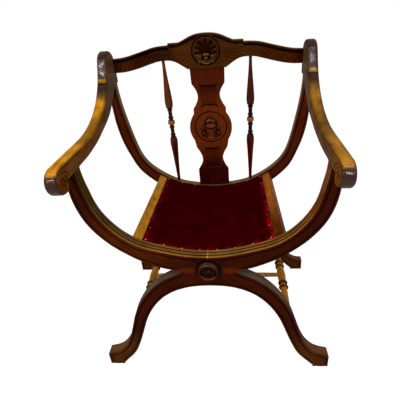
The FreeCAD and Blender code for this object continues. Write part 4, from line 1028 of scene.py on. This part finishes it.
# %% Puckers along the rim
pucker_height = 1.3 * mm
pucker_pitch = 13 * mm
pucker_fade = 22 * mm
tack_calm = 12 * mm


def pucker(point):
    near = from_edge(point)
    if near > pucker_fade:
        return 0.0
    at_side = wide / 2 - abs(point.x - seat_middle.x) < deep / 2 - abs(point.y - seat_middle.y)
    along = point.y if at_side else point.x
    wander = math.sin(along * 61) * 0.35 + math.sin(along * 23 + point.x * 7) * 0.5
    wave = math.sin(2 * math.pi * along / pucker_pitch + wander * 6)
    strength = (1 - near / pucker_fade) ** 1.5 * (0.6 + 0.4 * math.sin(along * 37 + 2))
    return pucker_height * wave * strength


for vertex, up in zip(velvet.data.vertices, facing):
    if up > 0.2:
        vertex.co.z += pucker(vertex.co) * min(1.0, from_tack(vertex.co) / tack_calm)
round_off = velvet.modifiers.new("Soft", "SUBSURF")
round_off.levels = round_off.render_levels = 1
bpy.ops.object.modifier_apply(modifier=round_off.name)
bpy.ops.object.shade_smooth()
print("velvet has", len(velvet.data.polygons), "faces")

# %% [markdown]
# ## Pile
# Velvet is dark where one looks into the pile and bright where the pile lies over, at
# folds and edges. The sheen of the shader does the part that depends on the view. What
# stays put is worked out from the place: a brighter rim, which is painted sheen, broken by
# crushed patches and strongest on the right, faint stripes left by the loom, and a fine nap.

# %% Velvet finish
rim_outer, rim_inner_x, rim_inner_y = 3 * mm, 20 * mm, 18 * mm
nap_height = 0.15 * mm

plush = Finish("crimson velvet")
rim_x = abs(plush.x - seat_middle.x).step(wide / 2 - rim_inner_x, wide / 2 - rim_outer)
rim_y = abs(plush.y - seat_middle.y).step(deep / 2 - rim_inner_y, deep / 2 - rim_outer)
crushed = plush.noise(plush.place, 34.0, 3.0)
stripes = plush.noise(plush.point(plush.x * 120, plush.y * 4, 0.0), 1.0, 1.0)
nap = plush.noise(plush.place, 1800.0, 2.0)
to_the_right = plush.x.step(-50 * mm, 150 * mm)
# A brighter rim as painted sheen, strongest on the right.
painted_sheen = rim_x.most(rim_y) * crushed.step(0.40, 0.66) * (0.35 + to_the_right * 0.65)
pile = plush.mix(painted_sheen.least(1.0), stain(52, 0, 3), stain(150, 2, 18))
pile_level = 1 + (stripes - 0.5) * 0.5 + (crushed - 0.5) * 1.3 + (nap - 0.5) * 0.8
velvet_material = plush.surface(
    Base_Color=plush.dim(pile, pile_level.most(0.1)), Roughness=0.85,
    Specular_IOR_Level=0.0, Sheen_Weight=0.12, Sheen_Roughness=0.35,
    Sheen_Tint=stain(200, 20, 40), Normal=plush.relief(nap * nap_height))
give(velvet, velvet_material)
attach(velvet, "root")
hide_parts("seat_pad")

# %% Tacks
steel = Finish("tack heads, dulled steel")
spots = steel.noise(steel.place, 900.0, 2.0)
tack_material = steel.surface(
    Base_Color=steel.mix(spots.step(0.45, 0.7), stain(140, 138, 138), stain(84, 80, 78)),
    Metallic=0.9, Roughness=0.28 + spots * 0.3)
dress(tack_material, "seat_tacks")

# %% [markdown]
# ## Carver's tools
# Three tools make all the carved work. A lathe draws a ring of points out step by step.
# A bead is a ball pressed to three sizes and cut flat behind, where it meets the wood. A
# curl is a small round section spun about a point. What repeats is made once and copied
# round or mirrored. Each piece ends at the origin, unturned, with its place in its mesh,
# because the patterns read object coordinates.


# %% Choosing and closing
def take_all():
    """Edit the piece in hand, with all of it selected."""
    bpy.ops.object.mode_set(mode="EDIT")
    bpy.ops.mesh.select_all(action="SELECT")


def choose(test):
    """In edit mode, select the vertices whose place passes a test."""
    shape = bmesh.from_edit_mesh(bpy.context.object.data)
    for vertex in shape.verts:
        vertex.select = test(vertex.co)
    shape.select_flush_mode()
    bmesh.update_edit_mesh(bpy.context.object.data)


def face_outwards():
    take_all()
    bpy.ops.mesh.normals_make_consistent(inside=False)
    bpy.ops.object.mode_set(mode="OBJECT")


def settle(name):
    """Close the piece in hand, turn it outwards and put its place in its mesh."""
    take_all()
    bpy.ops.mesh.remove_doubles(threshold=0.02 * mm)
    bpy.ops.mesh.select_all(action="DESELECT")
    bpy.ops.mesh.select_non_manifold()
    bpy.ops.mesh.fill_holes(sides=0)
    face_outwards()
    bpy.ops.object.transform_apply(location=True, rotation=True, scale=True)
    piece = bpy.context.object
    piece.name = name
    return piece


# %% Lathe
def lathe(name, centre, out, profile, sides):
    """Turn a profile of (radius, height) about a line through the centre."""
    stand_alone()
    out = Vector(out)
    keep = [abs(value) for value in out]
    radius, level = profile[0]
    turned = (math.pi / 2, 0, 0) if keep[1] else (0, 0, 0)
    bpy.ops.mesh.primitive_circle_add(vertices=sides, radius=radius,
                                      location=centre + out * level, rotation=turned)
    take_all()
    for next_radius, next_level in profile[1:]:
        bpy.ops.mesh.extrude_region_move(
            TRANSFORM_OT_translate={"value": out * (next_level - level)})
        grow = next_radius / radius
        bpy.ops.transform.resize(value=[1 if k else grow for k in keep],
                                 center_override=centre + out * next_level)
        radius, level = next_radius, next_level
    return settle(name)


# %% Bead and curl
bead_sink = 1.2 * mm
tube_sides, curl_steps = 10, 28


def bead(name, centre, sizes, segments=16, rings=10, point=1.0):
    """A domed bead on the face behind it. A point under 1 narrows its lower end."""
    stand_alone()
    bpy.ops.mesh.primitive_uv_sphere_add(segments=segments, ring_count=rings, radius=1,
                                         location=centre)
    take_all()
    bpy.ops.transform.resize(value=[s * mm for s in sizes], center_override=centre)
    if point != 1.0:
        choose(lambda co: co.z < -0.1 * sizes[2] * mm)
        bpy.ops.transform.resize(value=(point, 1, 1), center_override=centre)
        bpy.ops.mesh.select_all(action="SELECT")
    bpy.ops.mesh.bisect(plane_co=centre + Vector((0, bead_sink, 0)), plane_no=(0, 1, 0),
                        use_fill=True, clear_outer=True)
    return settle(name)


def curl(name, centre, radius, tube, sweep=360, stretch=(1, 1, 1)):
    """A round section spun about a line that points to the viewer."""
    stand_alone()
    bpy.ops.mesh.primitive_circle_add(vertices=tube_sides, radius=tube * mm,
                                      location=centre + Vector((radius * mm, 0, 0)))
    take_all()
    bpy.ops.mesh.spin(steps=curl_steps, angle=-sweep * degree, center=centre, axis=(0, 1, 0))
    bpy.ops.mesh.select_all(action="SELECT")
    bpy.ops.transform.resize(value=stretch, center_override=centre)
    return settle(name)


# %% Copies and joining
def turned_copy(piece, centre, angle):
    """A copy of a piece, turned about a line that points to the viewer."""
    stand_alone()
    piece.select_set(True)
    bpy.context.view_layer.objects.active = piece
    bpy.ops.object.duplicate()
    copy = bpy.context.object
    take_all()
    bpy.ops.transform.rotate(value=angle, orient_axis="Y", center_override=centre)
    bpy.ops.object.mode_set(mode="OBJECT")
    return copy


def join(pieces):
    stand_alone()
    for piece in pieces:
        piece.select_set(True)
    bpy.context.view_layer.objects.active = pieces[0]
    if len(pieces) > 1:
        bpy.ops.object.join()
    return bpy.context.object


def mirrored(pieces):
    """The pieces and their mirror images on the other side of the chair."""
    half = join(pieces)
    flip = half.modifiers.new("Other side", "MIRROR")
    flip.use_mirror_merge = False
    bpy.ops.object.modifier_apply(modifier=flip.name)
    face_outwards()
    return half


crease = 50 * degree


def carving(name, pieces, material):
    """Join the pieces of one carving and hand it to the chair."""
    whole = join(pieces)
    whole.name = name
    bpy.ops.object.shade_smooth_by_angle(angle=crease)
    give(whole, material)
    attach(whole, "root")
    low = [min(v.co[i] for v in whole.data.vertices) for i in range(3)]
    high = [max(v.co[i] for v in whole.data.vertices) for i in range(3)]
    print(name, len(whole.data.polygons), "faces, from",
          [round(v / mm, 1) for v in low], "to", [round(v / mm, 1) for v in high])
    return whole


# %% [markdown]
# ## The rosette
# A dished boss covers the middle of the crossing. Two turned mouldings ring the dish,
# ten petals lie in it and a button holds the middle. The dish is almost black, darker the
# deeper it lies. One petal is shaped from a ball and copied round.

# %% Rosette
forward = (0, -1, 0)
boss_profile = [(0.5, 0.0), (30.2, 0.0), (30.5, 1.6), (30.5, 4.6), (29.8, 6.4), (28.4, 7.2),
                (27.3, 6.4), (26.8, 7.8), (25.8, 10.2), (24.2, 11.6), (22.6, 11.4), (21.6, 9.8),
                (21.2, 7.4), (20.4, 5.0), (18.0, 4.2), (9.0, 3.8), (5.0, 4.0), (0.2, 4.0)]
dish_sides = 64
dish = lathe("dish", boss_centre, forward, [(r * mm, h * mm) for r, h in boss_profile],
             dish_sides)
petal_count = 10
petal = bead("petal", boss_centre + Vector((0, -3.6, 12.8)) * mm, (3.9, 2.8, 7.2), point=0.5)
petals = [petal] + [turned_copy(petal, boss_centre, 2 * math.pi * number / petal_count)
                    for number in range(1, petal_count)]
button = bead("button", boss_centre + Vector((0, -4.4, 0)) * mm, (5.2, 4.0, 5.2))
dish_shade, button_edge = (4.2 * mm, 9.5 * mm), (3.8 * mm, 4.8 * mm)


def boss_level(finish):
    """Nearly black in the dish, lighter on the mouldings and the button."""
    height = (boss_centre.y - finish.y).step(*dish_shade)
    button_top = from_centre(finish, boss_centre).fall(*button_edge)
    return (0.12 + height).most(button_top * 1.3)


boss_wood = wood("rosette, dark varnish", stain(56, 20, 8), stain(84, 42, 22), 90, top_worn_and_lit,
                 level=boss_level, sheen=0.15, dull=0.06)
boss = carving("carved_rosette", [dish, button] + petals, boss_wood)
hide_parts("front_boss")


# %% [markdown]
# ## The shell
# The CAD rail carries the shell's dish, flutes and ring. The carver's small work is added
# over it: a hood like a pointed arch, a golden ball on a lip below it, curled leaves at
# both sides, a row of buds along the foot and small pearls where the flutes end.

# %% Shell carving
def on_shell(x, z, proud=0.0):
    return shell_centre + Vector((x, -proud, z)) * mm


hood = curl("hood", on_shell(0, -18, 1.0), 14.5, 1.7, 180, (1.15, 1.2, 1.45))
lip = bead("lip", on_shell(0, -12, 0.6), (11.5, 4.4, 4.6), 24, 12)
ball = bead("ball", on_shell(0, -22, 0.6), (6.0, 4.6, 5.0))
middle_curl = curl("middle curl", on_shell(0, -34.5, 0.3), 3.2, 1.6)
shell_sides = mirrored([
    curl("leaf curl", on_shell(24, -22, 0.4), 4.6, 1.9, 330),
    bead("leaf", on_shell(20, -16), (6.5, 2.8, 3.4)),
    bead("outer bud", on_shell(20, -33, 0.2), (5.0, 3.2, 4.2)),
    bead("inner bud", on_shell(10, -34.5, 0.2), (4.2, 3.2, 4.4)),
])
pearl_count, pearl_sweep, shell_ground_dark = 17, 262, (0.3 * mm, 2.8 * mm)
pearl = bead("pearl", on_shell(0, 37), (3.2, 1.5, 2.3), 10, 6)
pearls = [pearl]
for number in range(1, pearl_count // 2 + 1):
    angle = pearl_sweep / (pearl_count - 1) * number * degree
    pearls += [turned_copy(pearl, shell_centre, angle), turned_copy(pearl, shell_centre, -angle)]


def shell_level(finish):
    """Darker where the carving meets the face it stands on."""
    return 0.08 + (crest_face - finish.y).step(*shell_ground_dark)


shell_wood = wood("shell carving, rubbed", stain(78, 42, 15), stain(128, 80, 32), 0, top_worn_and_lit,
                  level=shell_level, sheen=0.3, dull=0.15)
carving("shell_carving", [hood, lip, ball, middle_curl, shell_sides] + pearls, shell_wood)

# %% [markdown]
# ## The urn
# A covered urn stands in the splat's ring. It is turned whole on the lathe, its belly is
# fluted by drawing every fourth column of points inwards, and then it is pressed flat
# against the splat, which is how a relief differs from a statue. Curled handles and
# hanging loops are spun beside it.

# %% Urn
foot_profile = [(0.5, -41), (12.6, -41), (13.2, -39.6), (12.6, -38.2), (10.6, -37.4)]
belly_profile = [(10.6, -36), (11.2, -30), (12.4, -20), (14.2, -10), (15.6, -4), (16.4, -2)]
rim_profile = [(18.6, -1.4), (19.4, 0.4), (18.8, 2.2), (17.2, 2.8), (17.8, 6), (17.4, 11),
               (15.4, 15), (13.6, 16.4), (16.6, 17.2), (17.0, 19), (15.4, 20.6), (12.4, 26),
               (7.6, 30), (3.4, 31.6), (3.4, 33), (4.4, 34.4), (3.4, 36.2), (0.3, 37)]
urn_profile = [(r * mm, h * mm) for r, h in foot_profile + belly_profile + rim_profile]
urn_sides, flute_count = 72, 18
flute_draw = 0.92
urn_relief = 0.30
fluted_rise = (-37 * mm, -3 * mm)
urn = lathe("urn", urn_centre, (0, 0, 1), urn_profile, urn_sides)


def in_flute(place):
    out = place - urn_centre
    column = round(math.atan2(out.x, -out.y) / (2 * math.pi) * urn_sides)
    return fluted_rise[0] < out.z < fluted_rise[1] and column % (urn_sides // flute_count) == 0


bpy.ops.object.mode_set(mode="EDIT")
choose(in_flute)
bpy.ops.transform.resize(value=(flute_draw, flute_draw, 1), center_override=urn_centre)
bpy.ops.mesh.select_all(action="SELECT")
bpy.ops.transform.resize(value=(1, urn_relief, 1), center_override=urn_centre)
bpy.ops.object.mode_set(mode="OBJECT")


# %% Handles and loops
def on_splat(x, z, proud=0.0):
    return urn_centre + Vector((x, -proud, z)) * mm


urn_sides_carved = mirrored([
    curl("handle", on_splat(23, 5, 0.2), 6.4, 1.7),
    curl("scroll", on_splat(29, -5, 0.2), 4.4, 1.5, 300),
    bead("handle leaf", on_splat(22, -5), (5.2, 2.0, 2.4)),
    curl("loop", on_splat(25, -21), 6.0, 1.2, 360, (1, 1, 1.7)),
    bead("drop", on_splat(22, -33), (2.2, 1.8, 3.4)),
])


rim_rise, rim_half, rim_soft = -4.5 * mm, 2.4 * mm, 1.2 * mm
under_lid_rise, under_lid_half, under_lid_soft = 17.0 * mm, 3.2 * mm, 1.6 * mm
knob_rise, belly_top, belly_foot = (25 * mm, 29 * mm), (-7 * mm, -5 * mm), (-37 * mm, -35 * mm)
urn_ground_dark = (0.5 * mm, 3.6 * mm)


def urn_level(finish):
    """Painted shade under the rim and under the lid; dark on the knob and in the flutes."""
    rise = finish.z - urn_height
    bow = finish.x * finish.x * 20.0
    shadows = any_of([(rise - bow).band(rim_rise, rim_half, rim_soft),
                      (rise + bow).band(under_lid_rise, under_lid_half, under_lid_soft),
                      (rise + bow).step(*knob_rise) * 0.75,
                      rise.fall(*belly_top) * rise.step(*belly_foot) * 0.35])
    return (0.05 + (splat_face - finish.y).step(*urn_ground_dark) * 0.95) \
        * (1 - shadows * 0.92)


# The greyish worn colour on the tops partly stands for a painted highlight.
urn_wood = wood("urn carving", stain(104, 46, 12), stain(136, 104, 84), 90, top_worn_and_lit,
                level=urn_level, sheen=0.15, dull=0.05)
carving("urn_carving", [urn, urn_sides_carved], urn_wood)

# %% [markdown]
# ## Floor and room
# The floor and the room are white. The Light Path node lets a ray that comes from the
# camera, or from a mirror, see that white, while the chair is lit at a plainer level.
# The floor adds its glow to its own shading, so that the chair's shadow still falls.


# %% What sees the white
def seen_white(tree):
    rays = tree.nodes.new("ShaderNodeLightPath")
    total = rays.outputs["Is Camera Ray"]
    for name in ("Is Glossy Ray", "Is Transmission Ray"):
        most = tree.nodes.new("ShaderNodeMath")
        most.operation = "MAXIMUM"
        tree.links.new(total, most.inputs[0])
        tree.links.new(rays.outputs[name], most.inputs[1])
        total = most.outputs[0]
    return total


def choose_by_ray(tree, plain, shown, out):
    """The plain shader lights the chair, and the shown one is what is seen."""
    pick = tree.nodes.new("ShaderNodeMixShader")
    for number, socket in enumerate((seen_white(tree), plain, shown)):
        tree.links.new(socket, pick.inputs[number])
    tree.links.new(pick.outputs[0], tree.nodes[out].inputs["Surface"])


# %% Floor
white = (1, 1, 1, 1)
floor_glow, room_level = 0.78, 0.38
stand_alone()
bpy.ops.mesh.primitive_plane_add(size=60, location=(0, 0, -0.5 * mm))
floor = bpy.context.object
floor.name = "Floor"
paint = Finish("pale floor")
paint.surface(Base_Color=(0.6, 0.6, 0.6, 1), Roughness=0.9, Specular_IOR_Level=0.0)
glow = paint.node("ShaderNodeEmission", {}, {"Color": white, "Strength": floor_glow})
both = paint.tree.nodes.new("ShaderNodeAddShader")
paint.tree.links.new(paint.shader.outputs[0], both.inputs[0])
paint.tree.links.new(glow.outputs[0], both.inputs[1])
choose_by_ray(paint.tree, paint.shader.outputs[0], both.outputs[0], "Material Output")
floor.data.materials.append(paint.material)

# %% Room
room = bpy.data.worlds.new("White room")
bpy.context.scene.world = room
room.use_nodes = True
sky = room.node_tree
plain = sky.nodes["Background"]
plain.inputs["Color"].default_value = white
plain.inputs["Strength"].default_value = room_level
shown = sky.nodes.new("ShaderNodeBackground")
shown.inputs["Color"].default_value = white
choose_by_ray(sky, plain.outputs[0], shown.outputs[0], "World Output")
bpy.context.scene.view_settings.view_transform = "Standard"

# %% [markdown]
# ## Lamps
# Five narrow windows stand and hang round the front of the chair, and four strips between
# them. Varnish mirrors them as crisp streaks: the low ones in the scrolls and the high
# ones in the finials, which lean back. They are strong but small, so that the chair isn't
# lit more than its colours ask.


# %% Lamps
def softbox(name, place, aim, size, radiance):
    """An area lamp. Its power follows from its size and how bright it looks."""
    bpy.ops.object.light_add(type="AREA", location=place)
    made = bpy.context.object
    made.name = name
    made.data.shape = "RECTANGLE"
    made.data.size, made.data.size_y = size
    made.data.energy = radiance * math.pi * size[0] * size[1]
    made.rotation_euler = (Vector(aim) - Vector(place)).to_track_quat("-Z", "Y").to_euler()


window, strip_length = (0.14, 0.7), 0.5
window_radiance = 16
chair_middle = (0, 0, 0.75)
for name, place in (("Low left", (-0.58, -1.37, 1.20)), ("Low right", (1.17, -1.15, 1.20)),
                    ("High left", (-1.22, -0.61, 1.93)), ("High middle", (-0.31, -0.86, 2.10)),
                    ("High right", (0.70, -0.82, 2.07))):
    softbox(name, place, chair_middle, window, window_radiance)
for name, place, aim, width, radiance in (
        ("Left finial strip", (-0.70, -0.66, 1.77), (-0.304, 0.158, 0.854), 0.012, 90),
        ("Right finial strip", (0.49, -0.69, 1.815), (0.30, 0.156, 0.849), 0.010, 55),
        ("Left scroll strip", (-0.91, -1.28, 1.19), (-0.287, -0.246, 0.707), 0.016, 70),
        ("Right scroll strip", (0.61, -1.39, 1.24), (0.281, -0.244, 0.709), 0.016, 70)):
    softbox(name, place, aim, (width, strip_length), radiance)
